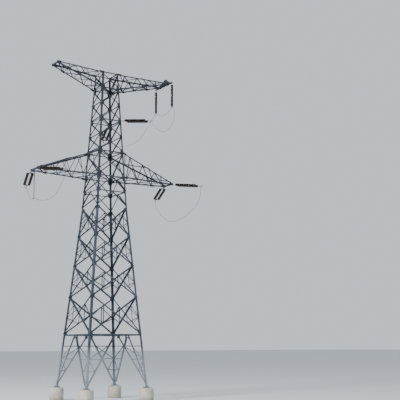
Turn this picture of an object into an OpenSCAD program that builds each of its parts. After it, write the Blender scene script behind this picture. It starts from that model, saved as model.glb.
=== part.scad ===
// Single-circuit lattice strain tower of bolted angle steel, with its insulator strings and jumpers.
// The crossarms run along X, the line runs roughly along Y, and Z = 0 is the ground at the piers.

/* [Body] */
// Width over the leg heels at the foot plates
base_w = 6400; // [6000:50:7000]
// Width over the leg heels at the waist, where the slope changes
waist_w = 3260; // [3000:20:3500]
// Width over the leg heels at the top of the body
top_w = 1700; // [1600:20:1900]
// Height of the open foot section, up to the first ring of struts
foot_h = 4950; // [4600:50:5400]
// Height of the four crossed panels between the ring and the waist
panel_1_h = 3600; // [3300:50:3900]
// Height of the second crossed panel
panel_2_h = 3000; // [2800:50:3300]
// Height of the third crossed panel
panel_3_h = 2850; // [2600:50:3100]
// Height of the fourth crossed panel
panel_4_h = 2850; // [2600:50:3100]
// Height of each of the two braced panels under the lower crossarm
waist_panel_h = 1500; // [1350:50:1700]
// Depth of the lower crossarm at the body
lower_arm_d = 2500; // [2300:50:2700]
// Height of each of the two lower shaft panels
shaft_panel_1_h = 1625; // [1500:25:1750]
// Height of each of the two upper shaft panels
shaft_panel_2_h = 1650; // [1500:25:1750]
// Depth of the top crossarm at the body
top_arm_d = 1650; // [1500:25:1800]

/* [Piers] */
// Height of the concrete piers over the ground
pier_h = 1200; // [1000:50:1500]
// Diameter of each pier
pier_d = 1350; // [1200:50:1500]
// Width of the chamfer round the pier's top
pier_chamfer = 130; // [80:10:200]
// Side of the steel foot plate
foot_plate_w = 520; // [460:20:600]
// Thickness of the foot plate
foot_plate_t = 34; // [30:2:40]

/* [Crossarms] */
// Distance from the tower's axis to the lower arm tips
lower_reach = 7460; // [7200:20:7700]
// Width of the lower arm tips
lower_tip_w = 1500; // [1300:50:1700]
// Distance from the tower's axis to the left tip of the top arm
top_left_reach = 5650; // [5400:50:5900]
// Width of the left tip of the top arm
top_left_tip_w = 1240; // [1100:20:1400]
// Distance from the tower's axis to the right tip of the top arm
top_right_reach = 6650; // [6400:50:6800]
// Width of the right tip of the top arm
top_right_tip_w = 1700; // [1500:50:1900]
// Length of the jumper beam across the right tip
beam_len = 3300; // [3100:50:3500]

/* [Angles] */
// Flange width of the lower leg angles
leg_size = 200; // [180:10:220]
// Thickness of the lower leg angles
leg_t = 18; // [14:1:20]
// Flange width of the shaft leg angles
shaft_leg_size = 160; // [140:10:180]
// Thickness of the shaft leg angles
shaft_leg_t = 14; // [10:1:16]
// Flange width of the main diagonals
brace_size = 140; // [120:5:150]
// Thickness of the main diagonals
brace_t = 10; // [8:1:12]
// Flange width of the shaft diagonals
shaft_brace_size = 100; // [85:5:110]
// Thickness of the shaft diagonals
shaft_brace_t = 7; // [6:1:8]
// Flange width of the secondary members
second_size = 70; // [63:1:75]
// Thickness of the secondary members
second_t = 6; // [5:1:7]
// Flange width of the crossarm chords
chord_size = 125; // [110:5:130]
// Thickness of the crossarm chords
chord_t = 9; // [8:1:10]

/* [Insulators] */
// Discs in each string of a tension set
tension_discs = 16; // [15:1:18]
// Discs in each of the two jumper strings of the top arm
jumper_discs = 16; // [14:1:17]
// Pitch of the discs
disc_pitch = 146; // [140:1:155]
// Diameter of a disc
disc_d = 280; // [250:5:300]
// Length of the sheds on the polymer string of the left arm
polymer_len = 2360; // [2200:10:2600]
// Diameter of the large sheds of the polymer string
polymer_d = 150; // [120:5:170]
// Spacing of the two strings of a tension set
twin_gap = 450; // [420:10:500]
// Direction of the back span from the crossarm
back_azimuth = 75; // [70:1:78]
// Direction of the front span from the crossarm
front_azimuth = 61; // [58:1:66]
// Fall of the back strings
back_fall = 16; // [12:1:18]
// Fall of the front strings
front_fall = 7; // [4:1:10]
// Diameter of the jumper conductor
cable_d = 27; // [24:1:30]

/* [Hidden] */
corner_names = ["front_left", "front_right", "back_right", "back_left"];
face_names = ["front", "right", "back", "left"];
string_names = ["lower_left", "lower_right", "middle"];
span_names = ["front", "back"];

// The tower's axis stands this far to the left of the middle of the whole object
axis_x = -765;
// Clearance between bolted pieces of different nodes
seat = 0.3;
// Depth to which bars of one node are sunk into each other
bite = 1;

// Levels over the ground
foot_z = pier_h;
ring_z = foot_z + foot_h;
panel_z = [
    ring_z,
    ring_z + panel_1_h,
    ring_z + panel_1_h + panel_2_h,
    ring_z + panel_1_h + panel_2_h + panel_3_h,
    ring_z + panel_1_h + panel_2_h + panel_3_h + panel_4_h
];
waist_z = panel_z[4];
lower_arm_z = waist_z + 2 * waist_panel_h;
lower_arm_top_z = lower_arm_z + lower_arm_d;
middle_z = lower_arm_top_z + 2 * shaft_panel_1_h;
top_arm_z = middle_z + 2 * shaft_panel_2_h;
top_z = top_arm_z + top_arm_d;

function mix(a, b, f) = a + (b - a) * f;
function unit(v) = v / norm(v);
function square_to(v, u) = unit(v - (v * u) * u);

// Half the width over the leg heels at a height over the ground
function half(z) =
    z < waist_z
        ? mix(base_w, waist_w, (z - foot_z) / (waist_z - foot_z)) / 2
        : mix(waist_w, top_w, (z - waist_z) / (top_z - waist_z)) / 2;

// Outward normal of the front face, below and above the waist
lower_slope = (base_w - waist_w) / 2 / (waist_z - foot_z);
shaft_slope = (waist_w - top_w) / 2 / (top_z - waist_z);
function face_normal(z) = unit([0, -1, z < waist_z ? lower_slope : shaft_slope]);

// A point of the front face: side is -1 at the left heel and 1 at the right one
function face_point(side, z, inset = 0) = [side * (half(z) - inset), -half(z), z];

// Draws its children along Z from p to q, with their Y axis along n
module along(p, q, n)
{
    z_dir = unit(q - p);
    y_dir = square_to(n, z_dir);
    x_dir = cross(y_dir, z_dir);
    multmatrix([
        [x_dir.x, y_dir.x, z_dir.x, p.x],
        [x_dir.y, y_dir.y, z_dir.y, p.y],
        [x_dir.z, y_dir.z, z_dir.z, p.z]
    ])
        children();
}

// Bracing angle on the system line p to q of a plane with normal n. The flat flange starts at
// depth, measured along n, and the standing flange points the same way as out, 1 or -1.
module bracing_angle(p, q, n, size, t, depth, out, hand = 1, lap = 0)
{
    u = unit(q - p);
    a = p - lap * u;
    b = q + lap * u;
    along(a, b, n)
        linear_extrude(norm(b - a))
            translate([0, depth])
                mirror([hand < 0 ? 1 : 0, 0])
                    mirror([0, out < 0 ? 1 : 0])
                        translate([-size / 2, 0])
                            angle_section(size, t);
}

module angle_section(size, t)
{
    polygon([[0, 0], [size, 0], [size, t], [t, t], [t, size], [0, size]]);
}

// Corner angle whose heel runs from p to q, with its flanges turned towards d1 and d2
module corner_angle(p, q, d1, d2, size, t)
{
    u = unit(q - p);
    f1 = square_to(d1, u);
    f2 = square_to(d2, u);
    y_dir = cross(u, f1);
    e1 = [1, 0];
    e2 = [f2 * f1, f2 * y_dir];
    along(p, q, y_dir)
        linear_extrude(norm(q - p))
            polygon([
                [0, 0], size * e1, size * e1 + t * e2,
                t * e1 + t * e2, t * e1 + size * e2, size * e2
            ]);
}

// Flat bar or plate on the line p to q, of the given width, from depth to depth + t along n
module flat(p, q, n, width, t, depth, lap = 0)
{
    u = unit(q - p);
    a = p - lap * u;
    b = q + lap * u;
    along(a, b, n)
        translate([-width / 2, depth, 0])
            cube([width, t, norm(b - a)]);
}

// Round pack of washers on a bolt, from depth a to depth b along n
module pack(p, n, a, b, r)
{
    u = unit(n);
    side = abs(u.z) > 0.9 ? [1, 0, 0] : [0, 0, 1];
    along(p + a * u, p + b * u, side)
        cylinder(r = r, h = b - a, $fn = 24);
}

// Places its children, drawn for the front left corner, at corner i
module at_corner(i)
{
    translate([axis_x, 0, 0])
        rotate([0, 0, 90 * i])
            children();
}

// Places its children, drawn for the front face, on face i
module at_face(i) at_corner(i) children();

// Concrete pier with a chamfered top
module pier(i)
{
    r = pier_d / 2;
    c = foot_centre();
    color("#c9c6bd")
        at_corner(i)
            translate([c.x, c.y, 0])
                rotate_extrude($fn = 48)
                    polygon([
                        [0, 0], [r, 0], [r, pier_h - pier_chamfer],
                        [r - pier_chamfer, pier_h], [0, pier_h]
                    ]);
}

// Middle of the front left foot plate, under the leg's centroid
function foot_centre() =
    let (h = half(foot_z) - leg_size * 0.3)
    [-h, -h];

// Heel of the front left leg at a height
function heel(z) = [-half(z), -half(z), z];

// Distances of the diagonals' ends from a plain leg node, a strut, a crossarm chord, the ring and
// the waist, where the legs bend
node_margin = 30;
strut_margin = 130;
arm_margin = 215;
ring_margin = 150;
waist_margin = 75;

strut_size = 90;
strut_t = 8;
splice_rise = 600;
splice_len = 700;
splice_z = waist_z + splice_rise;
top_strut_z = top_z - 60;

// Lower leg: foot plate with crossed ribs, the main angle and the bent stub over the waist, with
// the splice angle that the shaft leg is bolted to
rib_h = 230;
module lower_leg(i)
{
    c = foot_centre();
    start = heel(foot_z + foot_plate_t - 6);
    plate_z = foot_z + seat;
    color("#8d9498")
        at_corner(i)
            union() {
                translate([c.x, c.y, plate_z + foot_plate_t / 2])
                    cube([foot_plate_w, foot_plate_w, foot_plate_t], center = true);
                for (turn = [0, 90])
                    translate([c.x, c.y, plate_z + foot_plate_t - bite])
                        rotate([90, 0, turn])
                            linear_extrude(14, center = true)
                                foot_rib();
                corner_angle(start, heel(waist_z), [1, 0, 0], [0, 1, 0], leg_size, leg_t);
                corner_angle(heel(waist_z - 8), heel(splice_z), [1, 0, 0], [0, 1, 0],
                             shaft_leg_size, shaft_leg_t);
                leg_splice();
                mirror([1, -1, 0]) splice_bolts();
                splice_bolts();
            }
}

module foot_rib()
{
    w = foot_plate_w / 2 - 20;
    polygon([[-w, 0], [w, 0], [w, 50], [w / 2, rib_h], [-w / 2, rib_h], [-w, 50]]);
}

// Angle inside the leg that laps the joint of the lower and the shaft leg
splice_t = 12;
module leg_splice()
{
    inset = shaft_leg_t + seat;
    shift = [inset, inset, 0];
    corner_angle(heel(splice_z - splice_len / 2) + shift, heel(splice_z + splice_len / 2) + shift,
                 [1, 0, 0], [0, 1, 0], shaft_leg_size - 25, splice_t);
}

// Bolts that hold the splice angle to the stub, through the front flange
module splice_bolts()
{
    n = face_normal(splice_z);
    for (f = [0.15, 0.35])
        for (inset = [55, 110])
            pack(face_point(-1, splice_z - splice_len * f, inset), n,
                 -shaft_leg_t - seat - splice_t - 14, 14, 13);
}

// Shaft leg, from the splice to the top. The two right legs carry the middle tension sets.
module shaft_leg(i)
{
    color("#7f878c") {
        at_corner(i)
            corner_angle(heel(splice_z + seat), heel(top_z), [1, 0, 0], [0, 1, 0],
                         shaft_leg_size, shaft_leg_t);
        if (i == 1 || i == 2)
            middle_lug(i == 2 ? 1 : -1);
    }
}

// Lug on the outside of a right leg, for the middle tension set, cut off at the leg's inside
lug_cut = 500;
module middle_lug(s)
{
    inside = half(middle_z) - shaft_leg_t / 2;
    difference() {
        aim(2, s)
            lug(lug_tail);
        translate([axis_x + inside - lug_cut, s > 0 ? inside - lug_cut : -inside, middle_z - 150])
            cube([lug_cut, lug_cut, 300]);
    }
}

// Half of the front face's inverted V, with its secondary members on the front left leg
v_gap = 520;
v_top_drop = 200;
v_foot_rise = 420;
v_top_z = ring_z - v_top_drop;
v_foot_z = foot_z + v_foot_rise;
module foot_truss()
{
    n = face_normal(foot_z);
    inner = -leg_t - seat;
    top = [-v_gap / 2, -half(v_top_z), v_top_z];
    bottom = face_point(-1, v_foot_z, leg_size / 2 + 30);
    function on_leg(f) = face_point(-1, mix(v_foot_z, v_top_z, f), leg_size / 2);
    function on_v(f) = mix(bottom, top, f);
    union() {
        bracing_angle(bottom, top, n, brace_size, brace_t, seat, 1, 1, 60);
        for (f = [0.27, 0.52, 0.8]) {
            bracing_angle(on_leg(f), on_v(f), n, second_size, second_t, inner, -1, 1, 10);
            pack(on_v(f), n, inner - bite, seat + bite, 30);
        }
        bracing_angle(on_leg(0.52), on_v(0.27), n, second_size, second_t, inner - 2, -1, 1, 10);
        bracing_angle(on_leg(0.52), on_v(0.8), n, second_size, second_t, inner - 3, -1, -1, 10);
    }
}

module foot_bracing(i)
{
    color("#9aa1a4")
        at_corner(i) {
            foot_truss();
            mirror([1, -1, 0]) foot_truss();
        }
}

// Crossed panel of one face between two heights. The rising diagonal lies outside the leg
// flanges, the falling one inside, and packs join them where they cross.
module crossed_panel(z1, z2, low_margin, high_margin, size, t, flange, flange_t, redundants)
{
    n = face_normal((z1 + z2) / 2);
    inset = flange / 2;
    a = face_point(-1, z1 + low_margin, inset);
    b = face_point(1, z1 + low_margin, inset);
    c = face_point(-1, z2 - high_margin, inset);
    d = face_point(1, z2 - high_margin, inset);
    outside = seat;
    inside = -flange_t - seat;
    w1 = norm(b - a);
    w2 = norm(d - c);
    share = w1 / (w1 + w2);
    middle = mix(a, d, share);
    lap = flange * 0.15;
    union() {
        bracing_angle(a, d, n, size, t, outside, 1, 1, lap);
        bracing_angle(b, c, n, size, t, inside, -1, 1, lap);
        pack(middle, n, inside - bite, outside + bite, size * 0.32);
        if (redundants)
            for (side = [-1, 1]) {
                leg_point = face_point(side, mix(z1, z2, 0.46), inset);
                low = mix(side < 0 ? a : b, middle, 0.52);
                high = mix(side < 0 ? c : d, middle, 0.5);
                low_in = side < 0 ? 1 : -1;
                // the rising diagonal is outside, so its stay goes inside, and the other way round
                bracing_angle(leg_point, low, n, second_size, second_t,
                              low_in > 0 ? inside : outside, -low_in, 1, 30);
                bracing_angle(leg_point, high, n, second_size, second_t,
                              low_in > 0 ? outside : inside, low_in, 1, 30);
                bracing_angle(low, high, n, second_size, second_t,
                              -flange_t / 2 + second_t / 2, -1, side, 30);
                for (p = [low, high])
                    pack(p, n, inside - bite, outside + bite, 28);
            }
    }
}

module lower_bracing(i)
{
    color("#8b9296")
        at_face(i)
            for (k = [0:3])
                crossed_panel(panel_z[k], panel_z[k + 1], k == 0 ? ring_margin : node_margin,
                              k == 3 ? waist_margin : node_margin,
                              brace_size, brace_t, leg_size, leg_t, true);
}

// Strut across the front face, inside the leg flanges. Its standing flange is at its lower edge,
// or for hand = -1 at its upper edge, so that the struts of two faces pass each other.
module face_strut(z, hand)
{
    n = face_normal(z + 1);
    inset = shaft_leg_size / 2;
    bracing_angle(face_point(-1, z, inset), face_point(1, z, inset), n, strut_size, strut_t,
                  -shaft_leg_t - seat, -1, hand, 40);
}

// Inverted V between two heights of the shaft, with its head on a gusset of the strut above
v_head_drop = 60;
module inverted_v(z1, z2)
{
    n = face_normal(z1 + 1);
    inset = shaft_leg_size / 2;
    head_z = z2 - v_head_drop;
    head = [0, -half(head_z), head_z];
    inside = -shaft_leg_t - seat;
    for (side = [-1, 1]) {
        foot = face_point(side, z1 + strut_margin, inset);
        bracing_angle(foot, mix(head, foot, 0.09), n, shaft_brace_size, shaft_brace_t,
                      seat, 1, side, 40);
        pack(mix(head, foot, 0.1), n, inside - bite, seat + bite, 26);
    }
    flat([-190, head.y, z2 - 40], [190, head.y, z2 - 40], n, 220, 10, inside - 9);
}

// One face of the shaft, from the waist to the top
module shaft_bracing(i)
{
    hand = i % 2 == 0 ? 1 : -1;
    waist_mid = waist_z + waist_panel_h;
    color("#7c8489")
        at_face(i) {
            union() {
                face_strut(waist_mid, hand);
                inverted_v(waist_z, waist_mid);
            }
            union() {
                face_strut(lower_arm_z, hand);
                inverted_v(waist_mid, lower_arm_z);
            }
            for (z = [lower_arm_top_z, middle_z, top_arm_z, top_strut_z])
                face_strut(z, hand);
            shaft_x(lower_arm_z, lower_arm_top_z, arm_margin, arm_margin);
            shaft_x(lower_arm_top_z, lower_arm_top_z + shaft_panel_1_h, arm_margin, node_margin);
            shaft_x(middle_z - shaft_panel_1_h, middle_z, node_margin, strut_margin);
            shaft_x(middle_z, middle_z + shaft_panel_2_h, strut_margin, node_margin);
            shaft_x(top_arm_z - shaft_panel_2_h, top_arm_z, node_margin, arm_margin);
            shaft_x(top_arm_z, top_strut_z, arm_margin, arm_margin);
        }
}

module shaft_x(z1, z2, low_margin, high_margin)
    crossed_panel(z1, z2, low_margin, high_margin, shaft_brace_size, shaft_brace_t,
                  shaft_leg_size, shaft_leg_t, false);

// Ring at the top of the foot section: a strut with two gussets on each face, and the diamond of
// plan bracing between the middles of the faces
ring_drop = 20;
gusset_w = 300;
gusset_t = 12;
plan_size = 75;
plan_t = 7;
module ring_frame()
{
    z = ring_z - ring_drop;
    h = half(z);
    n = face_normal(z);
    shelf_z = z - 30;
    color("#8b9296")
        union()
            for (i = [0:3])
                at_face(i) {
                    bracing_angle(face_point(-1, z, 100), face_point(1, z, 100), n,
                                  brace_size, brace_t, seat, 1, 1, 40);
                    for (side = [-1, 1]) {
                        x = side * (v_gap / 2 + 20);
                        flat([x, -half(v_top_z - 170), v_top_z - 170], [x, -half(z + 40), z + 40],
                             n, gusset_w, gusset_t, -gusset_t);
                        pack([x, -h, z], n, -gusset_t - bite, seat + 6, 24);
                    }
                    translate([-200, -h - 8, shelf_z])
                        cube([400, 300, 10]);
                    bracing_angle([-70, -h + 120, shelf_z + 10 - bite],
                                  [-h + 120, -70, shelf_z + 10 - bite],
                                  [0, 0, 1], plan_size, plan_t, 0, 1);
                }
}

// Crossed plan bracing inside the shaft, resting on the struts of the front and back faces
diaphragm_drop = strut_size / 2 - strut_t + 1.5;
diaphragm_inset = 30;
diaphragm_size = strut_size * 0.7;
module shaft_diaphragms()
{
    up = [0, 0, 1];
    plate = 260;
    color("#7c8489")
        translate([axis_x, 0, 0])
            for (z = [lower_arm_z, lower_arm_top_z, top_arm_z]) {
                r = half(z) - diaphragm_inset - diaphragm_size * sin(45) / 2;
                base = z - diaphragm_drop;
                union() {
                    bracing_angle([-r, -r, base], [r, r, base], up, diaphragm_size, second_t, 0, 1);
                    bracing_angle([-r, r, base], [r, -r, base], up, diaphragm_size, second_t, 0.4, 1);
                    translate([-plate / 2, -plate / 2, base - 8 + bite])
                        cube([plate, plate, 8]);
                }
            }
}

// Crossarm to the right of the tower's axis: a low and a high chord on the front and on the back,
// each rooted on its leg by a bent plate, and drawn together at the tip. The sides are laced from
// the low chords' joints to the high chords between them, and the level planes are crossed or
// zigzagged.
root_gap = 16;
root_out = 10;
root_len = 360;
arm_plate_t = 12;
tip_depth = 190;
module crossarm(reach, tip_w, z_low, z_high, tip_z, bays)
{
    for (s = [-1, 1])
        arm_side(reach, tip_w, z_low, z_high, tip_z, bays, s);
    arm_plane(reach, tip_w, z_low, tip_z, bays, true);
    arm_plane(reach, tip_w, z_high, tip_z + tip_depth, bays, false);
    for (z = [tip_z + 52, tip_z + tip_depth - 48])
        bracing_angle([reach - 12, -tip_w / 2 - 4, z], [reach - 12, tip_w / 2 + 4, z], [1, 0, 0],
                      strut_size, strut_t, 0, -1);
}

function arm_root(z, s) = [half(z) + root_gap, s * (half(z) + seat + root_out), z];

// Side of a crossarm in front (s = -1) or at the back (s = 1) of the tower's axis
module arm_side(reach, tip_w, z_low, z_high, tip_z, bays, s)
{
    low = arm_root(z_low, s);
    high = arm_root(z_high, s);
    rise = unit(high - low);
    tip_low = [reach, s * tip_w / 2, tip_z];
    tip_high = tip_low + rise * tip_depth;
    cross_n = unit(cross(tip_low - low, high - low));
    n = cross_n.y * s > 0 ? cross_n : -cross_n;
    inner = -chord_t + bite;
    function low_at(f) = mix(low, tip_low, f);
    function high_at(f) = mix(high, tip_high, f);
    corner_angle(low, tip_low, rise, [0, -s, 0], chord_size, chord_t);
    corner_angle(high, tip_high, -rise, [0, -s, 0], chord_size, chord_t);
    for (k = [0:bays - 2]) {
        bracing_angle(low_at(max(k / bays, 0.02)) + 30 * rise, high_at((k + 0.5) / bays) - 30 * rise,
                      n, second_size, second_t, -bite, 1, 1, 30);
        bracing_angle(high_at((k + 0.5) / bays) - 30 * rise, low_at((k + 1) / bays) + 30 * rise,
                      n, second_size, second_t, inner, -1, 1, 30);
    }
    bracing_angle(low_at((bays - 1) / bays) + 30 * rise, high_at((bays - 1) / bays) - 30 * rise,
                  n, second_size, second_t, -bite - 1, 1, 1, 20);
    node_plate(low_at((bays - 1) / bays), tip_low, rise, n, 340, 200);
    node_plate(low_at(1) - [150, 0, 0], tip_low + [100, 0, 0], rise, n, 420, 290);
    root_plate(low, tip_low, rise, n, s, 1);
    root_plate(high, tip_high, rise, n, s, -1);
}

// Gusset on a chord's outer face
module node_plate(p, ahead, rise, n, w, h)
{
    u = unit(ahead - p);
    flat(p - w / 2 * u + (h / 2 - 60) * rise, p + w / 2 * u + (h / 2 - 60) * rise, n,
         h, arm_plate_t, -bite / 2);
}

// Bent plate that joins a chord to the outside of its leg, above or below the chord's heel
module root_plate(p, ahead, rise, n, s, way)
{
    u = unit(ahead - p);
    mid = way * 25 * rise;
    leg_n = [0, s * cos(atan(shaft_slope)), sin(atan(shaft_slope))];
    on_leg = [half(p.z), s * half(p.z), p.z] + mid;
    flat(on_leg - [shaft_leg_size - 10, 0, 0], on_leg + [50, 0, 0], leg_n, 210, arm_plate_t, seat);
    flat(p + mid - 6 * u, p + mid + root_len * u, n, 210, arm_plate_t, -bite);
}

// Lacing between the front and the back chord: crossed in the low plane, a zigzag in the high one
module arm_plane(reach, tip_w, z, tip_z, bays, crossed)
{
    front = arm_root(z, -1);
    tip = [reach, -tip_w / 2, tip_z];
    cross_n = unit(cross([0, 1, 0], tip - front));
    n = cross_n.z * (crossed ? -1 : 1) > 0 ? cross_n : -cross_n;
    function at(f, s) =
        let (p = mix(front, tip, f))
        [p.x, -s * p.y - s * 30, p.z];
    for (k = [0:bays - 1]) {
        f1 = max(k / bays, 0.03);
        f2 = min((k + 1) / bays, 0.97);
        s = k % 2 == 0 ? -1 : 1;
        bracing_angle(at(f1, s), at(f2, -s), n, second_size, second_t, -bite, 1, 1, 5);
        if (crossed) {
            bracing_angle(at(f1, -s), at(f2, s), n, second_size, second_t, -chord_t + bite, -1, 1, 5);
            w1 = abs(at(f1, 1).y);
            w2 = abs(at(f2, 1).y);
            middle = mix(at(f1, s), at(f2, -s), w1 / (w1 + w2));
            pack(middle, n, -chord_t, bite, 26);
        }
    }
}

// Level plate under a tip corner of the right crossarm, which its lugs are welded to
corner_plate_t = 14;
corner_plate_sink = 2.5;
module corner_plate(reach, tip_w, tip_z, s, depth, out)
{
    y = s * (tip_w / 2 - depth / 2 + 20);
    translate([reach - 380, y - depth / 2, tip_z + corner_plate_sink - corner_plate_t])
        cube([380 + out, depth, corner_plate_t]);
}

// Lug with its hole at the origin, in the frame of the set that hangs on it
lug_t = 20;
lug_w = 120;
lug_tail = 250;
pin_d = 24;
module lug(tail)
{
    linear_extrude(lug_t, center = true)
        difference() {
            union() {
                circle(d = lug_w, $fn = 48);
                translate([-tail, -lug_w / 2 + 2])
                    square([tail, lug_w - 4]);
            }
            circle(d = pin_d + 6, $fn = 32);
        }
}

lower_tip_z = lower_arm_z;
top_left_tip_z = top_z + 40;
top_right_tip_z = top_z - 110;

// The low chords of the lower arms rise by this much to their tips
camber = 30;
module lower_arm()
{
    crossarm(lower_reach, lower_tip_w, lower_arm_z - camber, lower_arm_top_z, lower_tip_z, 4);
    for (s = [-1, 1])
        corner_plate(lower_reach, lower_tip_w, lower_tip_z, s, 320, 0);
}

module lower_arm_right()
    color("#7f878c")
        union() {
            translate([axis_x, 0, 0])
                lower_arm();
            for (s = [-1, 1])
                aim(1, s)
                    lug(lug_tail);
        }

module lower_arm_left()
    color("#7f878c")
        union() {
            translate([axis_x, 0, 0]) {
                mirror([1, 0, 0])
                    lower_arm();
                hanger(jumper_point(0));
            }
            for (s = [-1, 1])
                aim(0, s)
                    lug(lug_tail);
        }

module top_arm_left()
    color("#7f878c")
        translate([axis_x, 0, 0])
            mirror([1, 0, 0])
                union() {
                    crossarm(top_left_reach, top_left_tip_w, top_arm_z, top_strut_z, top_left_tip_z, 4);
                    for (s = [-1, 1]) {
                        corner_plate(top_left_reach, top_left_tip_w, top_left_tip_z, s, 260, 0);
                        earth_wire_lug(top_left_reach, top_left_tip_w, top_left_tip_z, s);
                    }
                }

module top_arm_right()
    color("#7f878c")
        translate([axis_x, 0, 0])
            union() {
                crossarm(top_right_reach, top_right_tip_w, top_arm_z, top_strut_z, top_right_tip_z, 4);
                for (s = [-1, 1]) {
                    corner_plate(top_right_reach, top_right_tip_w, top_right_tip_z, s, 260,
                                 beam_x + 110 - top_right_reach);
                    earth_wire_lug(top_right_reach, top_right_tip_w, top_right_tip_z, s);
                }
            }

// Small lug that points along the line, for an earth wire's shackle
earth_lug_out = 110;
module earth_wire_lug(reach, tip_w, tip_z, s)
{
    translate([reach - 250, s * (tip_w / 2 + earth_lug_out), tip_z - 6])
        rotate([0, 0, s * 90])
            linear_extrude(12, center = true)
                difference() {
                    union() {
                        circle(d = 80, $fn = 48);
                        translate([-260, -39])
                            square([260, 78]);
                    }
                    circle(d = 22, $fn = 32);
                }
}

// Plate with a hole that a jumper string hangs from, with its hole at p
hanger_t = 16;
hanger_rise = 105;
module hanger(p)
{
    translate(p)
        rotate([90, 0, 90])
            linear_extrude(hanger_t, center = true)
                difference() {
                    union() {
                        circle(d = 90, $fn = 48);
                        translate([-44, 0])
                            square([88, hanger_rise]);
                    }
                    circle(d = 24, $fn = 32);
                }
}

// Trussed beam across the right tip, which holds two jumper strings clear of the arm
beam_x = top_right_reach + 180;
beam_z = top_right_tip_z + corner_plate_sink + seat + strut_size / 2;
beam_rise = 560;
beam_half_gap = 34;
module jumper_beam()
{
    color("#7f878c")
        translate([axis_x, 0, 0])
            union() {
                for (sx = [-1, 1])
                    bracing_angle([beam_x, -beam_len / 2, beam_z], [beam_x, beam_len / 2, beam_z],
                                  [sx, 0, 0], strut_size, strut_t, beam_half_gap - strut_t, 1, -sx);
                for (y = [-0.43, -0.2, 0, 0.2, 0.43])
                    translate([beam_x - beam_half_gap, y * beam_len - 60, beam_z - 20])
                        cube([2 * beam_half_gap, 120, 14]);
                beam_web();
                for (s = [-1, 1]) {
                    bracing_angle([beam_x, s * beam_len * 0.43, beam_z + 50],
                                  [beam_x, s * 60, beam_z + beam_rise], [1, 0, 0],
                                  plan_size, plan_t, 6 - bite, 1, s);
                    bracing_angle([beam_x, s * beam_len * 0.2, beam_z + 20],
                                  [beam_x, s * beam_len * 0.2, beam_z + beam_rise * 0.55], [1, 0, 0],
                                  second_size, second_t, -6 + bite, -1, s);
                    beam_end(s);
                }
            }
}

// Plated web of the beam, in its middle plane, and the gussets at its ends
web_front = 1150;
web_back = 620;
web_top = 400;
module beam_web()
{
    translate([beam_x, 0, beam_z - 10])
        rotate([90, 0, 90])
            linear_extrude(12, center = true)
                union() {
                    polygon([
                        [-web_front, 0], [web_back, 0], [web_back, 110], [0, beam_rise + 130],
                        [-web_top, beam_rise + 130], [-web_front, 170]
                    ]);
                    for (s = [-1, 1])
                        polygon([
                            [s * beam_len * 0.43 - 170, 0], [s * beam_len * 0.43 + 130, 0],
                            [s * beam_len * 0.43 + 130, 110], [s * beam_len * 0.43 - 170, 170]
                        ]);
                }
}

// End of the beam: the plate between its angles that a string hangs from
module beam_end(s)
{
    y = s * beam_len / 2;
    translate([beam_x - beam_half_gap, y - s * 60 - 50, beam_z - 20])
        cube([2 * beam_half_gap, 100, 14]);
    hanger(jumper_point(s < 0 ? 1 : 2));
}

// Insulator string along +X: one turned body with a cap, a double shed and a pin for each disc
module insulator(count)
{
    r = disc_d / 2;
    profile = [
        [50, 0.02], [54, 0.24], [100, 0.34], [r, 0.46], [r, 0.52], [r - 20, 0.58],
        [r - 10, 0.8], [r - 16, 0.86], [24, 0.88], [20, 0.98]
    ];
    rotate([0, 90, 0])
        rotate_extrude($fn = 32)
            polygon([
                [0, 0],
                for (i = [0:count - 1])
                    for (p = profile)
                        [p[0], (i + p[1]) * disc_pitch],
                [0, count * disc_pitch]
            ]);
}

// Polymer string along +X: a rod with large and small sheds by turns between two sockets
shed_pitch = 62;
module polymer_insulator()
{
    sheds = floor(polymer_len / shed_pitch);
    rotate([0, 90, 0])
        rotate_extrude($fn = 32)
            polygon([
                [0, 0],
                [26, 0],
                [26, 80],
                for (i = [0:sheds - 1])
                    let (r = (i % 2 == 0 ? polymer_d : polymer_d - 34) / 2)
                    for (p = [[15, 0.1], [r, 0.42], [r, 0.54], [15, 0.66]])
                        [p[0], 80 + (i + p[1]) * shed_pitch],
                [26, 80 + sheds * shed_pitch],
                [26, 160 + sheds * shed_pitch],
                [0, 160 + sheds * shed_pitch]
            ]);
}

// Shackle along +X: two straps on either side of a plate of thickness t, and the pin through both
module shackle(t, d, len)
{
    strap_t = d / 2;
    inside = t / 2 + seat;
    for (s = [-1, 1])
        translate([-d, -1.2 * d, s > 0 ? inside : -inside - strap_t])
            cube([len + d, 2.4 * d, strap_t]);
    translate([len - d, -1.2 * d, -inside - bite])
        cube([d, 2.4 * d, 2 * inside + 2 * bite]);
    translate([0, 0, -inside - strap_t - d / 2])
        cylinder(d = d, h = 2 * inside + 2 * strap_t + d, $fn = 32);
}

// Tension set along +X from the pin of its shackle: link, yoke, twin strings, yoke, dead-end clamp
shackle_len = 120;
link_len = 300;
yoke_len = 150;
string_gap = 40;
clamp_len = 600;
terminal_x = 330;
terminal_drop = 190;
bore_d = cable_d + 1;
mouth_len = 150;
string_len = tension_discs * disc_pitch;
clamp_x = link_len + yoke_len + string_gap + string_len + string_gap + yoke_len;
module yoke_plate()
{
    w = twin_gap / 2 + 50;
    linear_extrude(18, center = true)
        polygon([
            [-60, -50], [-60, 50], [yoke_len - 40, w], [yoke_len + 20, w],
            [yoke_len + 20, -w], [yoke_len - 40, -w]
        ]);
}

module rod(x1, x2, r)
{
    translate([x1, 0, 0])
        rotate([0, 90, 0])
            cylinder(r = r, h = x2 - x1, $fn = 32);
}

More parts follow.
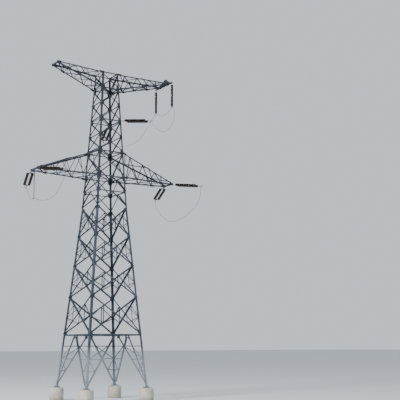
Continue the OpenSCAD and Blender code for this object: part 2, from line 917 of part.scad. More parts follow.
module tension_set(turn)
{
    first = link_len + yoke_len;
    union() {
        shackle(lug_t, pin_d, shackle_len);
        translate([shackle_len - 30, -27, -9])
            cube([link_len - shackle_len, 54, 18]);
        translate([link_len, 0, 0])
            yoke_plate();
        for (s = [-1, 1])
            translate([first, s * twin_gap / 2, 0]) {
                rod(-15, string_gap + 5, 16);
                translate([string_gap, 0, 0])
                    insulator(tension_discs);
                rod(string_gap + string_len - 5, 2 * string_gap + string_len + 15, 16);
            }
        translate([clamp_x, 0, 0])
            mirror([1, 0, 0])
                yoke_plate();
        dead_end_clamp(turn);
    }
}

// Compression clamp, with a bore for the span's conductor and a terminal for the jumper
module dead_end_clamp(turn)
{
    translate([clamp_x, 0, 0])
        difference() {
            union() {
                rod(20, 120, 22);
                rod(90, clamp_len, 30);
                translate([terminal_x, 0, 0])
                    rotate(turn)
                        translate([0, 0, -terminal_drop])
                            cylinder(r = 24, h = terminal_drop, $fn = 32);
            }
            rod(clamp_len - mouth_len, clamp_len + 10, bore_d / 2);
            translate([terminal_x, 0, 0])
                rotate(turn)
                    translate([0, 0, -terminal_drop - 10])
                        cylinder(r = bore_d / 2, h = 110, $fn = 32);
        }
}

// Places a tension set: k is its place in string_names, and s is 1 for the back span, -1 for the
// front one, whose left conductor leaves a little further outwards
left_turn = 4;
module aim(k, s)
{
    front = front_azimuth + (k == 0 ? left_turn : 0);
    az = s > 0 ? back_azimuth : -front;
    fall = s > 0 ? back_fall : front_fall;
    translate([axis_x, 0, 0])
        translate(tension_point(k, s))
            rotate([0, fall, az])
                children();
}

// Pin of each tension set, from the tower's axis: 80 mm outside the tip corner or the leg
pin_out = 80;
function tension_point(k, s) =
    k == 0 ? [-lower_reach + 20, s * (lower_tip_w / 2 + pin_out), lower_tip_z - 6]
  : k == 1 ? [lower_reach - 60, s * (lower_tip_w / 2 + pin_out), lower_tip_z - 6]
  : [half(middle_z) + pin_out / 2, s * (half(middle_z) + pin_out + 20), middle_z];

// The jumper terminals hang straight down, but for those of the middle sets, which lean towards the
// jumper beam, and the left back one, which leans towards its jumper string
function terminal_turn(k, s) =
    k == 2 ? [-s * 60, 0, 0] : k == 0 && s > 0 ? [0, 35, 0] : [0, 0, 0];

module tension_set_at(k, s)
    color("#3b2a24")
        aim(k, s)
            tension_set(terminal_turn(k, s));

// Suspension clamp at the foot of a jumper string: a boat-shaped body round the conductor, which
// lies along Y. The string comes in along -X.
clamp_drop = 75;
boat_len = 220;
module suspension_clamp()
{
    difference() {
        union() {
            rod(-10, clamp_drop, 14);
            translate([clamp_drop + 10, 0, 0])
                rotate([90, 0, 0])
                    cylinder(r = 28, h = boat_len, center = true, $fn = 32);
        }
        translate([clamp_drop + 10, 0, 0])
            rotate([90, 0, 0])
                cylinder(r = bore_d / 2, h = boat_len + 20, center = true, $fn = 32);
    }
}

// Jumper string that hangs from the hole at p
drop_len = 110;
module jumper_string(p, polymer)
{
    body_len = polymer ? 160 + floor(polymer_len / shed_pitch) * shed_pitch : jumper_discs * disc_pitch;
    color(polymer ? "#8a8682" : "#3b2a24")
        translate([axis_x, 0, 0])
            translate(p)
                rotate([0, 90, 0])
                    union() {
                        shackle(hanger_t, 20, 90);
                        rod(80, drop_len + 5, 13);
                        translate([drop_len, 0, 0]) {
                            if (polymer)
                                polymer_insulator();
                            else
                                insulator(jumper_discs);
                            translate([body_len, 0, 0])
                                suspension_clamp();
                        }
                    }
}

function jumper_point(k) =
    k == 0 ? [-lower_reach + 40, 0, lower_tip_z - 50]
  : [beam_x, (k == 1 ? -1 : 1) * (beam_len / 2 - 60), beam_z - strut_size / 2 - 50];

// Swept tube through a list of points, with square-cut ends
cord_sides = 8;
module tube(route, d)
{
    last = len(route) - 1;
    rings = [
        for (i = [0:last])
            let (
                u = unit(route[min(i + 1, last)] - route[max(i - 1, 0)]),
                x_dir = square_to([1, 0.02, 0.01], u),
                y_dir = cross(u, x_dir)
            )
            for (k = [0:cord_sides - 1])
                route[i] + d / 2 * (cos(360 * k / cord_sides) * x_dir
                                    + sin(360 * k / cord_sides) * y_dir)
    ];
    start = [for (k = [0:cord_sides - 1]) k];
    end = [for (k = [cord_sides - 1:-1:0]) last * cord_sides + k];
    walls = [
        for (i = [0:last - 1], k = [0:cord_sides - 1])
            let (j = (k + 1) % cord_sides)
            [i * cord_sides + k, (i + 1) * cord_sides + k, (i + 1) * cord_sides + j, i * cord_sides + j]
    ];
    polyhedron(points = rings, faces = concat([start], walls, [end]));
}

// Routes of the jumper conductors, from the tower's axis and the ground
lower_right_route = [
    [9005, -3725, 20946], [8999, -3714, 20848], [8993, -3704, 20748], [8985, -3670, 20450],
    [8975, -3560, 20000], [8950, -3250, 19420], [8900, -2750, 18990], [8840, -2130, 18650],
    [8770, -1480, 18380], [8700, -830, 18160], [8635, -180, 17990], [8560, 520, 17910],
    [8480, 1330, 18010], [8410, 2020, 18290], [8340, 2700, 18700], [8280, 3240, 19190],
    [8220, 3630, 19680], [8201, 3805, 20050], [8212, 3860, 20243], [8219, 3886, 20339],
    [8226, 3913, 20434]
];
lower_left_route = [
    [-6041, -3830, 20946], [-6046, -3819, 20848], [-6051, -3808, 20748], [-6070, -3770, 20450],
    [-6130, -3590, 20000], [-6240, -3280, 19500], [-6360, -2960, 19080], [-6500, -2560, 18720],
    [-6700, -2020, 18450], [-6930, -1350, 18390], [-7170, -720, 18480], [-7340, -340, 18620],
    [-7420, -130, 18689], [-7420, 0, 18689], [-7420, 130, 18689], [-7380, 480, 18710],
    [-7270, 1010, 18830], [-7090, 1700, 19090], [-6910, 2500, 19500], [-6770, 3130, 19930],
    [-6666, 3719, 20339], [-6646, 3794, 20402], [-6626, 3868, 20464]
];
middle_route = [
    [2848, -4093, 26747], [2920, -4047, 26698], [2993, -3999, 26648], [3480, -3750, 26410],
    [3980, -3510, 26250], [4570, -3230, 26200], [5160, -2940, 26340], [5740, -2650, 26690],
    [6200, -2430, 27170], [6540, -2260, 27740], [6740, -2170, 28260], [6820, -2110, 28700],
    [6840, -2010, 29080], [6835, -1870, 29340], [6830, -1710, 29462], [6830, -1590, 29462],
    [6830, -1470, 29462], [6830, -1260, 29360], [6830, -980, 29170], [6830, -550, 29010],
    [6830, 0, 28960], [6830, 550, 29010], [6830, 980, 29170], [6830, 1260, 29360],
    [6830, 1470, 29462], [6830, 1590, 29462], [6830, 1710, 29462], [6810, 1900, 29350],
    [6740, 2050, 29060], [6480, 2180, 28560], [6110, 2360, 27840], [5790, 2510, 27220],
    [5400, 2690, 26680], [4900, 2940, 26250], [4330, 3220, 26000], [3600, 3560, 25890],
    [2850, 3930, 25920], [2236, 4235, 26138], [2156, 4271, 26186], [2077, 4306, 26234]
];

module jumper(route)
    color("#55575a")
        translate([axis_x, 0, 0])
            tube(route, cable_d);

for (i = [0:3]) {
    pier(i);
    lower_leg(i);
    shaft_leg(i);
    foot_bracing(i);
    lower_bracing(i);
    shaft_bracing(i);
}
ring_frame();
shaft_diaphragms();
lower_arm_left();
lower_arm_right();
top_arm_left();
top_arm_right();
jumper_beam();
for (k = [0:2], s = [0, 1])
    tension_set_at(k, s == 0 ? -1 : 1);
jumper_string(jumper_point(0), true);  // jumper_string_lower_left
jumper_string(jumper_point(1), false);  // jumper_string_top_front
jumper_string(jumper_point(2), false);  // jumper_string_top_back
jumper(lower_left_route);  // jumper_lower_left
jumper(lower_right_route);  // jumper_lower_right
jumper(middle_route);  // jumper_middle
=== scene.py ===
# %% [markdown]
# # A lattice strain tower
# A strain tower is built to withstand a hard pull from one side. Its body is a cage of steel
# angles, dipped in zinc and bolted together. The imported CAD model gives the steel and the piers,
# in metres, and this lesson adds what the eye wants on top: finishes, bolts, node plates, jointed
# insulators and stranded jumpers. Everything is placed from the same few sizes.

import bpy
import numpy as np
from mathutils import Matrix


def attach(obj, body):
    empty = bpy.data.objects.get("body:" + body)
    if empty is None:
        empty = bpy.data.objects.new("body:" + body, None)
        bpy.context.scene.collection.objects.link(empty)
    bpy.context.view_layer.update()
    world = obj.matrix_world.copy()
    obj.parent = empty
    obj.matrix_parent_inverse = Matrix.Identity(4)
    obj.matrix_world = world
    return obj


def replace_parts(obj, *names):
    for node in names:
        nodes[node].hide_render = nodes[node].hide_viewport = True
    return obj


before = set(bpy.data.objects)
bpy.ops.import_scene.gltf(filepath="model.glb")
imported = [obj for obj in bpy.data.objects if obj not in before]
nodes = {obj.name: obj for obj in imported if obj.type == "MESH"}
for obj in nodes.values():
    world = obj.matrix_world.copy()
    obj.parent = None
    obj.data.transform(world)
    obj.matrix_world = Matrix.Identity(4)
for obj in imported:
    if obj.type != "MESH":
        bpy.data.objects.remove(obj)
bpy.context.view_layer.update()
print("nodes:", len(nodes))

# %% [markdown]
# ## The camera
# The camera stands 82 m away, in front of the tower and to its left, and 5 m above the feet of the
# piers. It is described by its place, its heading from +Y towards +X, its pitch and its roll, and
# the three unit vectors of its picture follow from those angles.

# %% Camera
camera_place = np.array([-38.875, -72.606, 5.015])
heading, pitch, roll = np.radians([34.292, 9.909, -0.156])
focal_px, picture_px, sensor_mm = 839.0, 400.0, 36.0

forward = np.array([
    np.sin(heading) * np.cos(pitch), np.cos(heading) * np.cos(pitch), np.sin(pitch)])
level = np.array([np.cos(heading), -np.sin(heading), 0.0])
upright = np.cross(level, forward)
right = np.cos(roll) * level + np.sin(roll) * upright
up = np.cos(roll) * upright - np.sin(roll) * level

camera_data = bpy.data.cameras.new("camera")
camera_data.sensor_width = sensor_mm
camera_data.lens = sensor_mm * focal_px / picture_px
camera_data.clip_end = 2000.0
camera = bpy.data.objects.new("camera", camera_data)
matrix = np.eye(4)
matrix[:3, :3] = np.stack([right, up, -forward], axis=1)
matrix[:3, 3] = camera_place
camera.matrix_world = Matrix(matrix.tolist())
bpy.context.scene.collection.objects.link(camera)
bpy.context.scene.camera = camera
print("lens: %.1f mm" % camera_data.lens)

# %% [markdown]
# ## Surfaces from arrays
# Each new shape is a set of points and a list of face arrays. A revolved profile gives caps and
# sheds, an outline pushed along its normal gives plates, and a ring carried along a path gives a
# cable. A placed copy is the same points under many frames at once, so a thousand bolts cost one
# line of algebra.

# %% Shapes
x_dir, y_dir, z_dir = np.eye(3)


def grid(rows, columns):
    """Quads between neighbouring rings: corner c of ring r joins c + 1 and ring r + 1."""
    r = np.arange(rows - 1)[:, None] * columns
    c = np.arange(columns)[None, :]
    n = (c + 1) % columns
    return np.stack([r + c, r + n, r + columns + n, r + columns + c], -1).reshape(-1, 4)


def tube(rows, sides):
    """Faces of a tube of rings: the quads of its wall, and a cap on each end."""
    ring = np.arange(sides)[None]
    return [grid(rows, sides), ring[:, ::-1], ring + (rows - 1) * sides]


def revolve(profile, sides, loop=False):
    """Turns (x, r) pairs about X: angle a gives (x, r cos a, r sin a). Its ends close, or meet."""
    x, r = np.asarray(profile, float).T
    a = np.arange(sides) * 2 * np.pi / sides
    points = np.stack([
        np.repeat(x, sides), np.outer(r, np.cos(a)).ravel(), np.outer(r, np.sin(a)).ravel()], 1)
    if loop:
        return points, [grid(len(x) + 1, sides) % len(points)]
    return points, tube(len(x), sides)


def prism(outline, low, high):
    """Pushes a counterclockwise outline in the plane z = low straight up to z = high."""
    count = len(outline)
    points = np.concatenate([
        np.column_stack([outline, np.full(count, z)]) for z in (low, high)])
    return points, tube(2, count)


def circle(radius, count):
    """Points at equal angles: (r cos a, r sin a)."""
    a = np.arange(count) * 2 * np.pi / count
    return radius * np.stack([np.cos(a), np.sin(a)], 1)


def placed(shape, frames):
    """Copies a shape into each frame: p becomes R p + t, for all points and frames in one sum."""
    points, faces = shape
    frames = np.asarray(frames, float).reshape(-1, 3, 4)
    moved = np.einsum("fij,pj->fpi", frames[:, :, :3], points) + frames[:, None, :, 3]
    step = (np.arange(len(frames)) * len(points))[:, None, None]
    return moved.reshape(-1, 3), [(f[None] + step).reshape(-1, f.shape[1]) for f in faces]


def unit(v):
    """v divided by its length, along the last axis."""
    v = np.asarray(v, float)
    return v / np.linalg.norm(v, axis=-1, keepdims=True)


def frames_at(points, z_axis, x_hint):
    """Frames with their Z along z_axis and their X as near as may be to x_hint."""
    points = np.atleast_2d(np.asarray(points, float))
    z = unit(np.broadcast_to(z_axis, points.shape))
    x = np.broadcast_to(np.asarray(x_hint, float), points.shape)
    x = unit(x - np.sum(x * z, -1, keepdims=True) * z)
    y = np.cross(z, x)
    return np.stack([x, y, z, points], -1)


# %% Pieces
def make_piece(name, parts, sharp=35.0, uv=None):
    """Joins (shape, material) pairs into one mesh on the tower. uv has a row per face corner."""
    materials = list(dict.fromkeys(material for _, material in parts))
    points, faces, slots = [], [], []
    start = 0
    for (shape_points, shape_faces), material in parts:
        points.append(shape_points)
        for block in shape_faces:
            faces.extend((block + start).tolist())
            slots.append(np.full(len(block), materials.index(material)))
        start += len(shape_points)
    mesh = bpy.data.meshes.new(name)
    mesh.from_pydata(np.concatenate(points).tolist(), [], faces)
    mesh.polygons.foreach_set("material_index", np.concatenate(slots).astype(np.int32))
    mesh.polygons.foreach_set("use_smooth", np.ones(len(faces), bool))
    if uv is not None:
        mesh.uv_layers.new(name="lay").data.foreach_set("uv", uv.astype(np.float32).ravel())
    mesh.set_sharp_from_angle(angle=np.radians(sharp))
    for material in materials:
        mesh.materials.append(material)
    mesh.update()
    piece = bpy.data.objects.new(name, mesh)
    bpy.context.scene.collection.objects.link(piece)
    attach(piece, "root")
    triangles = len(mesh.loops) - 2 * len(faces)
    print(f"{name}: {len(mesh.vertices)} points, {triangles} triangles")
    return piece


# %% [markdown]
# ## Finishes
# A material starts from what the real one is. One function turns an sRGB hex colour into the linear
# values that the shader wants, and one adds a node with its settings and its links. A pattern's
# Scale is one over its size in metres: 17 gives spangles that are 60 mm wide.

# %% Node helpers
def linear(hex_colour):
    """Takes each sRGB channel c to ((c + 0.055) / 1.055) ** 2.4, or c / 12.92 below 0.04045."""
    c = np.array([int(hex_colour[i:i + 2], 16) for i in (1, 3, 5)]) / 255
    c = np.where(c <= 0.04045, c / 12.92, ((c + 0.055) / 1.055) ** 2.4)
    return (*c.tolist(), 1.0)


def add(tree, kind, inputs, out=0, stops=(), **settings):
    """Adds a node and gives one of its outputs. Inputs take values, hex colours or outputs."""
    node = tree.nodes.new("ShaderNode" + kind)
    for key, value in settings.items():
        setattr(node, key, value)
    for i, (position, colour) in enumerate(stops):
        elements = node.color_ramp.elements
        element = elements[i] if i < len(elements) else elements.new(position)
        element.position, element.color = position, linear(colour)
    for key, value in inputs.items():
        if isinstance(value, bpy.types.NodeSocket):
            tree.links.new(value, node.inputs[key])
        else:
            node.inputs[key].default_value = linear(value) if isinstance(value, str) else value
    return None if out is None else node.outputs[out]


def make_material(name, finish, *settings):
    """Builds a material: finish gets Object coordinates, in metres, and gives the shader's inputs."""
    material = bpy.data.materials.new(name)
    material.use_nodes = True
    tree = material.node_tree
    tree.nodes.clear()
    inputs = finish(tree, add(tree, "TexCoord", {}, "Object"), *settings)
    add(tree, "OutputMaterial", {"Surface": add(tree, "BsdfPrincipled", inputs)}, None)
    return material


def layered(tree, coat, layers):
    """Lays colours over a coat. A colour's share runs from one end to the other as its value does."""
    for value, low, high, share_low, share_high, colour in layers:
        share = add(tree, "MapRange", {
            "Value": value, "From Min": low, "From Max": high, "To Min": share_low,
            "To Max": share_high})
        coat = add(tree, "Mix", {0: share, 6: coat, 7: colour}, 2, data_type="RGBA")
    return coat


# %% [markdown]
# ### Weathered galvanising
# Hot-dip zinc freezes in spangles, bright crystals 5 to 20 mm wide, and then dulls over the years
# to a blue-grey skin of zinc carbonate. Rain leaves paler runs down the legs. The lowest 5 m are
# painted pale as light falling on the lower legs, and above the waist the skin is painted darker
# as shade on the upper shaft. It is no longer a mirror, so the metal is mixed with a good deal of
# roughness. The spangles are drawn 60 mm wide, because real ones vanish from afar.

# %% Galvanised steel
# Heights in metres: painted light on the legs fades out between the first two, and painted shade on the
# shaft comes on between the last two
painted_light_from, painted_light_to, painted_shade_from, painted_shade_to = 3.8, 5.2, 16.0, 23.0


def galvanised_steel(tree, place, dark, mid, pale, metallic):
    """Zinc patina: 900 mm blotches, 125 mm runs, 60 mm spangles, 30 mm pores.

    The pale painted light on the lower legs fades out from 3.8 to 5.2 m, and the dark painted shade
    on the upper shaft comes on from 16 to 23 m; these heights in metres are set above this function.
    """
    blotch = add(tree, "TexNoise", {"Vector": place, "Scale": 1.1, "Detail": 3.0})
    tall = add(tree, "Mapping", {"Vector": place, "Scale": (1.0, 1.0, 0.12)})
    runs = add(tree, "TexNoise", {"Vector": tall, "Scale": 8.0, "Detail": 4.0, "Roughness": 0.6})
    spangle = add(tree, "TexVoronoi", {"Vector": place, "Scale": 17.0}, "Color")
    cell = add(tree, "SeparateColor", {"Color": spangle})
    height = add(tree, "SeparateXYZ", {"Vector": place}, "Z")
    base = add(tree, "ValToRGB", {"Fac": blotch}, stops=[(0.3, dark), (0.52, mid), (0.75, pale)])
    coat = layered(tree, base, [
        (runs, 0.5, 0.72, 0.0, 0.35, pale),
        # Painted light: the lowest legs are painted pale, as if lit by the sun
        (height, painted_light_from, painted_light_to, 0.7, 0.0, "#9fa8ad"),
        (cell, 0.0, 1.0, 0.0, 0.2, dark),
        # Painted shade: above the waist the skin is painted darker
        (height, painted_shade_from, painted_shade_to, 0.0, 0.5, "#171b20")])
    rough = add(tree, "MapRange", {"Value": cell, "To Min": 0.42, "To Max": 0.62})
    pores = add(tree, "TexNoise", {"Vector": place, "Scale": 33.0, "Detail": 3.0})
    bump = add(tree, "Bump", {"Height": pores, "Strength": 0.15, "Distance": 0.002})
    return {"Base Color": coat, "Metallic": metallic, "Roughness": rough, "Normal": bump}


body_zinc = make_material(
    "weathered_galvanising", galvanised_steel, "#2a3036", "#3b424a", "#555d66", 0.35)
bolt_zinc = make_material(
    "spun_galvanised_bolts", galvanised_steel, "#2b3035", "#3a4046", "#535a61", 0.5)

# %% [markdown]
# ### Concrete piers
# The piers were cast in round steel forms: a smooth pale skin, blown through with air holes, with
# a darker, damp foot and rust-tinted runs under the foot plates.

# %% Cast concrete
def cast_concrete(tree, place):
    """Concrete: 450 mm blotches, 90 mm runs, air holes 70 mm apart painted dark as shade, 30 mm grit, a
    damp foot.
    """
    blotch = add(tree, "TexNoise", {"Vector": place, "Scale": 2.2, "Detail": 5.0})
    fine = add(tree, "TexNoise", {"Vector": place, "Scale": 33.0, "Detail": 3.0, "Roughness": 0.7})
    holes = add(tree, "TexVoronoi", {"Vector": place, "Scale": 14.0}, "Distance")
    hole = add(tree, "MapRange", {
        "Value": holes, "From Min": 0.04, "From Max": 0.1, "To Min": 1.0, "To Max": 0.0})
    tall = add(tree, "Mapping", {"Vector": place, "Scale": (1.0, 1.0, 0.08)})
    runs = add(tree, "TexNoise", {"Vector": tall, "Scale": 11.0, "Detail": 4.0, "Roughness": 0.6})
    height = add(tree, "SeparateXYZ", {"Vector": place}, "Z")
    base = add(tree, "ValToRGB", {"Fac": blotch}, stops=[
        (0.3, "#a9a498"), (0.5, "#bdb9ad"), (0.72, "#d0ccc1")])
    coat = layered(tree, base, [
        (fine, 0.3, 0.7, 0.0, 0.25, "#8f8b80"), (runs, 0.52, 0.7, 0.0, 0.45, "#8a8272"),
        # The last layer is painted shade: the air holes are painted darker
        (height, 0.0, 0.5, 0.65, 0.0, "#6d6353"), (hole, 0.0, 1.0, 0.0, 0.6, "#5d584e")])
    relief = add(tree, "Math", {0: fine, 1: hole}, operation="SUBTRACT")
    bump = add(tree, "Bump", {"Height": relief, "Strength": 0.5, "Distance": 0.006})
    return {"Base Color": coat, "Roughness": 0.88, "Normal": bump}


pier_concrete = make_material("cast_concrete", cast_concrete)

# %% [markdown]
# ### Glaze, rubber, conductor and cast fittings
# Disc insulators are porcelain under a brown glaze, so they are dark and shine like a cup. The
# long-rod string is silicone rubber, matt and dusty grey. The jumpers are stranded aluminium that
# has dulled. A real strand runs round the cable once in 0.3 m, which is too fine to show from
# afar, so here it takes 3.6 m. Caps and clamps are cast, so their greys are cloudy and grainy.

# %% Insulator and conductor finishes
def brown_glaze(tree, place):
    """Glazed porcelain: dark browns in 250 mm clouds, under a thin dust in 60 mm patches."""
    cloud = add(tree, "TexNoise", {"Vector": place, "Scale": 4.0, "Detail": 3.0})
    dust = add(tree, "TexNoise", {"Vector": place, "Scale": 17.0, "Detail": 4.0})
    base = add(tree, "ValToRGB", {"Fac": cloud}, stops=[
        (0.35, "#130b09"), (0.6, "#1e120d"), (0.8, "#2c1a13")])
    dusted = layered(tree, base, [(dust, 0.55, 0.8, 0.0, 0.15, "#5b5049")])
    rough = add(tree, "MapRange", {
        "Value": dust, "From Min": 0.4, "From Max": 0.8, "To Min": 0.12, "To Max": 0.35})
    return {"Base Color": dusted, "Roughness": rough, "IOR": 1.52, "Coat Weight": 0.3,
            "Coat Roughness": 0.05}


def silicone_rubber(tree, place):
    """Silicone rubber: a matt grey that dust has settled on in 80 mm patches."""
    dust = add(tree, "TexNoise", {"Vector": place, "Scale": 12.0, "Detail": 4.0})
    base = add(tree, "ValToRGB", {"Fac": dust}, stops=[
        (0.3, "#2c2f32"), (0.55, "#3d4043"), (0.8, "#5c5b57")])
    return {"Base Color": base, "Roughness": 0.62, "IOR": 1.41}


strand_count = 12


def stranded_aluminium(tree, place):
    """Strands: the height is the sine of 2 pi (12 u + v / 0.3), u in turns and v in metres; grooves get
    painted shade.
    """
    lay = add(tree, "UVMap", {}, uv_map="lay")
    u = add(tree, "SeparateXYZ", {"Vector": lay}, "X")
    v = add(tree, "SeparateXYZ", {"Vector": lay}, "Y")
    turns = add(tree, "Math", {0: u, 1: strand_count * 2 * np.pi}, operation="MULTIPLY")
    phase = add(tree, "Math", {0: v, 1: 2 * np.pi / 0.3, 2: turns}, operation="MULTIPLY_ADD")
    wave = add(tree, "Math", {0: phase}, operation="SINE")
    cloud = add(tree, "TexNoise", {"Vector": place, "Scale": 5.0, "Detail": 3.0})
    base = add(tree, "ValToRGB", {"Fac": cloud}, stops=[
        (0.3, "#24272a"), (0.6, "#33373b"), (0.8, "#484c50")])
    # Painted shade: the grooves between the strands are painted darker
    coat = layered(tree, base, [(wave, -1.0, -0.2, 0.7, 0.0, "#191b1d")])
    bump = add(tree, "Bump", {"Height": wave, "Strength": 0.6, "Distance": 0.002})
    return {"Base Color": coat, "Metallic": 0.6, "Roughness": 0.5, "Normal": bump}


def cast_metal(tree, place, dark, pale, metallic, roughness):
    """A cast fitting: two greys in 50 mm clouds and the 4 mm grain of the sand mould."""
    cloud = add(tree, "TexNoise", {"Vector": place, "Scale": 20.0, "Detail": 4.0})
    grain = add(tree, "TexNoise", {"Vector": place, "Scale": 250.0, "Detail": 3.0})
    base = add(tree, "ValToRGB", {"Fac": cloud}, stops=[(0.3, dark), (0.7, pale)])
    bump = add(tree, "Bump", {"Height": grain, "Strength": 0.3, "Distance": 0.001})
    return {"Base Color": base, "Metallic": metallic, "Roughness": roughness, "Normal": bump}


porcelain = make_material("brown_glazed_porcelain", brown_glaze)
rubber = make_material("grey_silicone_rubber", silicone_rubber)
conductor = make_material("stranded_aluminium", stranded_aluminium)
cap_iron = make_material("galvanised_cap_iron", cast_metal, "#24282b", "#3c4145", 0.5, 0.5)
clamp_alloy = make_material("cast_aluminium_clamp", cast_metal, "#4a4f53", "#70757a", 0.7, 0.45)
print("materials:", len(bpy.data.materials))

# %% [markdown]
# ## The sizes of the tower
# The CAD source is not at hand here, so its main sizes are written once more, in metres. They give
# the half width over the leg heels at any height, and from that any point of a face. Bolted bars
# stand apart by the clearance seat, and the bars of one piece are sunk into each other by bite.

# %% Sizes
axis_x = -0.765
pier_h = 1.2
foot_w, waist_w, top_w = 6.4, 3.26, 1.7
ring_z = 6.15
panels = ring_z + np.array([0, 3.6, 6.6, 9.45, 12.3])
waist_z = panels[-1]
lower_arm_z, lower_arm_top_z = waist_z + 3.0, waist_z + 5.5
middle_z = lower_arm_top_z + 3.25
top_arm_z = middle_z + 3.3
top_z = top_arm_z + 1.65
top_strut_z = top_z - 0.06
seat, bite = 0.0003, 0.001


def half(z):
    """Half the width over the heels: straight from foot to waist, and from waist to top."""
    return np.interp(z, [pier_h, waist_z, top_z], [foot_w / 2, waist_w / 2, top_w / 2])


print("waist at %.2f m, top at %.2f m" % (waist_z, top_z))

# %% [markdown]
# ## The jumpers
# A jumper carries the current past the tower. It is a stranded cable that hangs from the terminals
# of two dead-end clamps, and insulators hold it away from the steel. The route's few points are
# joined by a smooth curve, and a ring of twelve points is carried along it.

# %% Cables
cable_d, cable_sides = 0.027, 12


def smooth_path(points, step=0.05):
    """Smooth curve through the points. Each distance's square root spaces their knots.

    Between two points, k blends the four nearest in straight pairs (a), those in pairs (b), and
    then the last two.
    """
    p = np.asarray(points, float)
    ends = np.concatenate([2 * p[:1] - p[1:2], p, 2 * p[-1:] - p[-2:-1]])
    chord = np.linalg.norm(np.diff(ends, axis=0), axis=1)
    knots = np.concatenate([[0.0], np.cumsum(np.sqrt(chord))])
    out = []
    for i in range(1, len(p)):
        k0, k1, k2, k3 = knots[i - 1:i + 3]
        q0, q1, q2, q3 = ends[i - 1:i + 3]
        count = max(2, int(np.ceil(np.linalg.norm(q2 - q1) / step)))
        k = (k1 + (k2 - k1) * np.arange(count) / count)[:, None]
        a1 = ((k1 - k) * q0 + (k - k0) * q1) / (k1 - k0)
        a2 = ((k2 - k) * q1 + (k - k1) * q2) / (k2 - k1)
        a3 = ((k3 - k) * q2 + (k - k2) * q3) / (k3 - k2)
        b1 = ((k2 - k) * a1 + (k - k0) * a2) / (k2 - k0)
        b2 = ((k3 - k) * a2 + (k - k1) * a3) / (k3 - k1)
        out.append(((k2 - k) * b1 + (k - k1) * b2) / (k2 - k1))
    return np.concatenate(out + [p[-1:]])


def carried_sides(path):
    """Side vectors along a path: each is the one before, made square to the new direction."""
    ahead = unit(np.gradient(path, axis=0))
    sides = np.zeros_like(path)
    side = np.cross(ahead[0], [0.3, 0.9, 0.2])
    for i, direction in enumerate(ahead):
        side = unit(side - (side @ direction) * direction)
        sides[i] = side
    return sides, np.cross(ahead, sides)


def cable(path, radius, sides):
    """Ring i has the points path_i + r (cos a s_i + sin a t_i), a tube of them along the path."""
    s, t = carried_sides(path)
    a = np.arange(sides) * 2 * np.pi / sides
    ring = np.cos(a)[None, :, None] * s[:, None] + np.sin(a)[None, :, None] * t[:, None]
    return (path[:, None] + radius * ring).reshape(-1, 3), tube(len(path), sides)


def strand_map(walked, sides):
    """Corners of a cable's faces: u is the share of a turn, v the distance walked along the path.

    The last face of a ring runs on to u = 1, so the strands close over the seam. The caps are at 0.
    """
    c, size = np.arange(sides), (len(walked) - 1, sides, 4)
    u = np.broadcast_to(np.stack([c, c + 1, c + 1, c], -1) / sides, size)
    v = np.stack([walked[:-1], walked[:-1], walked[1:], walked[1:]], -1)
    wall = np.stack([u, np.broadcast_to(v[:, None], size)], -1).reshape(-1, 2)
    return np.concatenate([wall, np.zeros((2 * sides, 2))])


# %% The three jumpers
routes = {
    "jumper_lower_right": [
        [9.005, -3.725, 20.946], [8.999, -3.714, 20.848], [8.993, -3.704, 20.748],
        [8.985, -3.67, 20.45], [8.975, -3.56, 20.0], [8.95, -3.25, 19.42], [8.9, -2.75, 18.99],
        [8.84, -2.13, 18.65], [8.77, -1.48, 18.38], [8.7, -0.83, 18.16], [8.635, -0.18, 17.99],
        [8.56, 0.52, 17.91], [8.48, 1.33, 18.01], [8.41, 2.02, 18.29], [8.34, 2.7, 18.7],
        [8.28, 3.24, 19.19], [8.22, 3.63, 19.68], [8.201, 3.805, 20.05], [8.212, 3.86, 20.243],
        [8.219, 3.886, 20.339], [8.226, 3.913, 20.434]],
    "jumper_lower_left": [
        [-6.041, -3.83, 20.946], [-6.046, -3.819, 20.848], [-6.051, -3.808, 20.748],
        [-6.07, -3.77, 20.45], [-6.13, -3.59, 20.0], [-6.24, -3.28, 19.5], [-6.36, -2.96, 19.08],
        [-6.5, -2.56, 18.72], [-6.7, -2.02, 18.45], [-6.93, -1.35, 18.39], [-7.17, -0.72, 18.48],
        [-7.34, -0.34, 18.62], [-7.42, -0.13, 18.689], [-7.42, 0.0, 18.689],
        [-7.42, 0.13, 18.689], [-7.38, 0.48, 18.71], [-7.27, 1.01, 18.83], [-7.09, 1.7, 19.09],
        [-6.91, 2.5, 19.5], [-6.77, 3.13, 19.93], [-6.666, 3.719, 20.339],
        [-6.646, 3.794, 20.402], [-6.626, 3.868, 20.464]],
    "jumper_middle": [
        [2.848, -4.093, 26.747], [2.92, -4.047, 26.698], [2.993, -3.999, 26.648],
        [3.48, -3.75, 26.41], [3.98, -3.51, 26.25], [4.57, -3.23, 26.2], [5.16, -2.94, 26.34],
        [5.74, -2.65, 26.69], [6.2, -2.43, 27.17], [6.54, -2.26, 27.74], [6.74, -2.17, 28.26],
        [6.82, -2.11, 28.7], [6.84, -2.01, 29.08], [6.835, -1.87, 29.34], [6.83, -1.71, 29.462],
        [6.83, -1.59, 29.462], [6.83, -1.47, 29.462], [6.83, -1.26, 29.36], [6.83, -0.98, 29.17],
        [6.83, -0.55, 29.01], [6.83, 0.0, 28.96], [6.83, 0.55, 29.01], [6.83, 0.98, 29.17],
        [6.83, 1.26, 29.36], [6.83, 1.47, 29.462], [6.83, 1.59, 29.462], [6.83, 1.71, 29.462],
        [6.81, 1.9, 29.35], [6.74, 2.05, 29.06], [6.48, 2.18, 28.56], [6.11, 2.36, 27.84],
        [5.79, 2.51, 27.22], [5.4, 2.69, 26.68], [4.9, 2.94, 26.25], [4.33, 3.22, 26.0],
        [3.6, 3.56, 25.89], [2.85, 3.93, 25.92], [2.236, 4.235, 26.138], [2.156, 4.271, 26.186],
        [2.077, 4.306, 26.234]]}
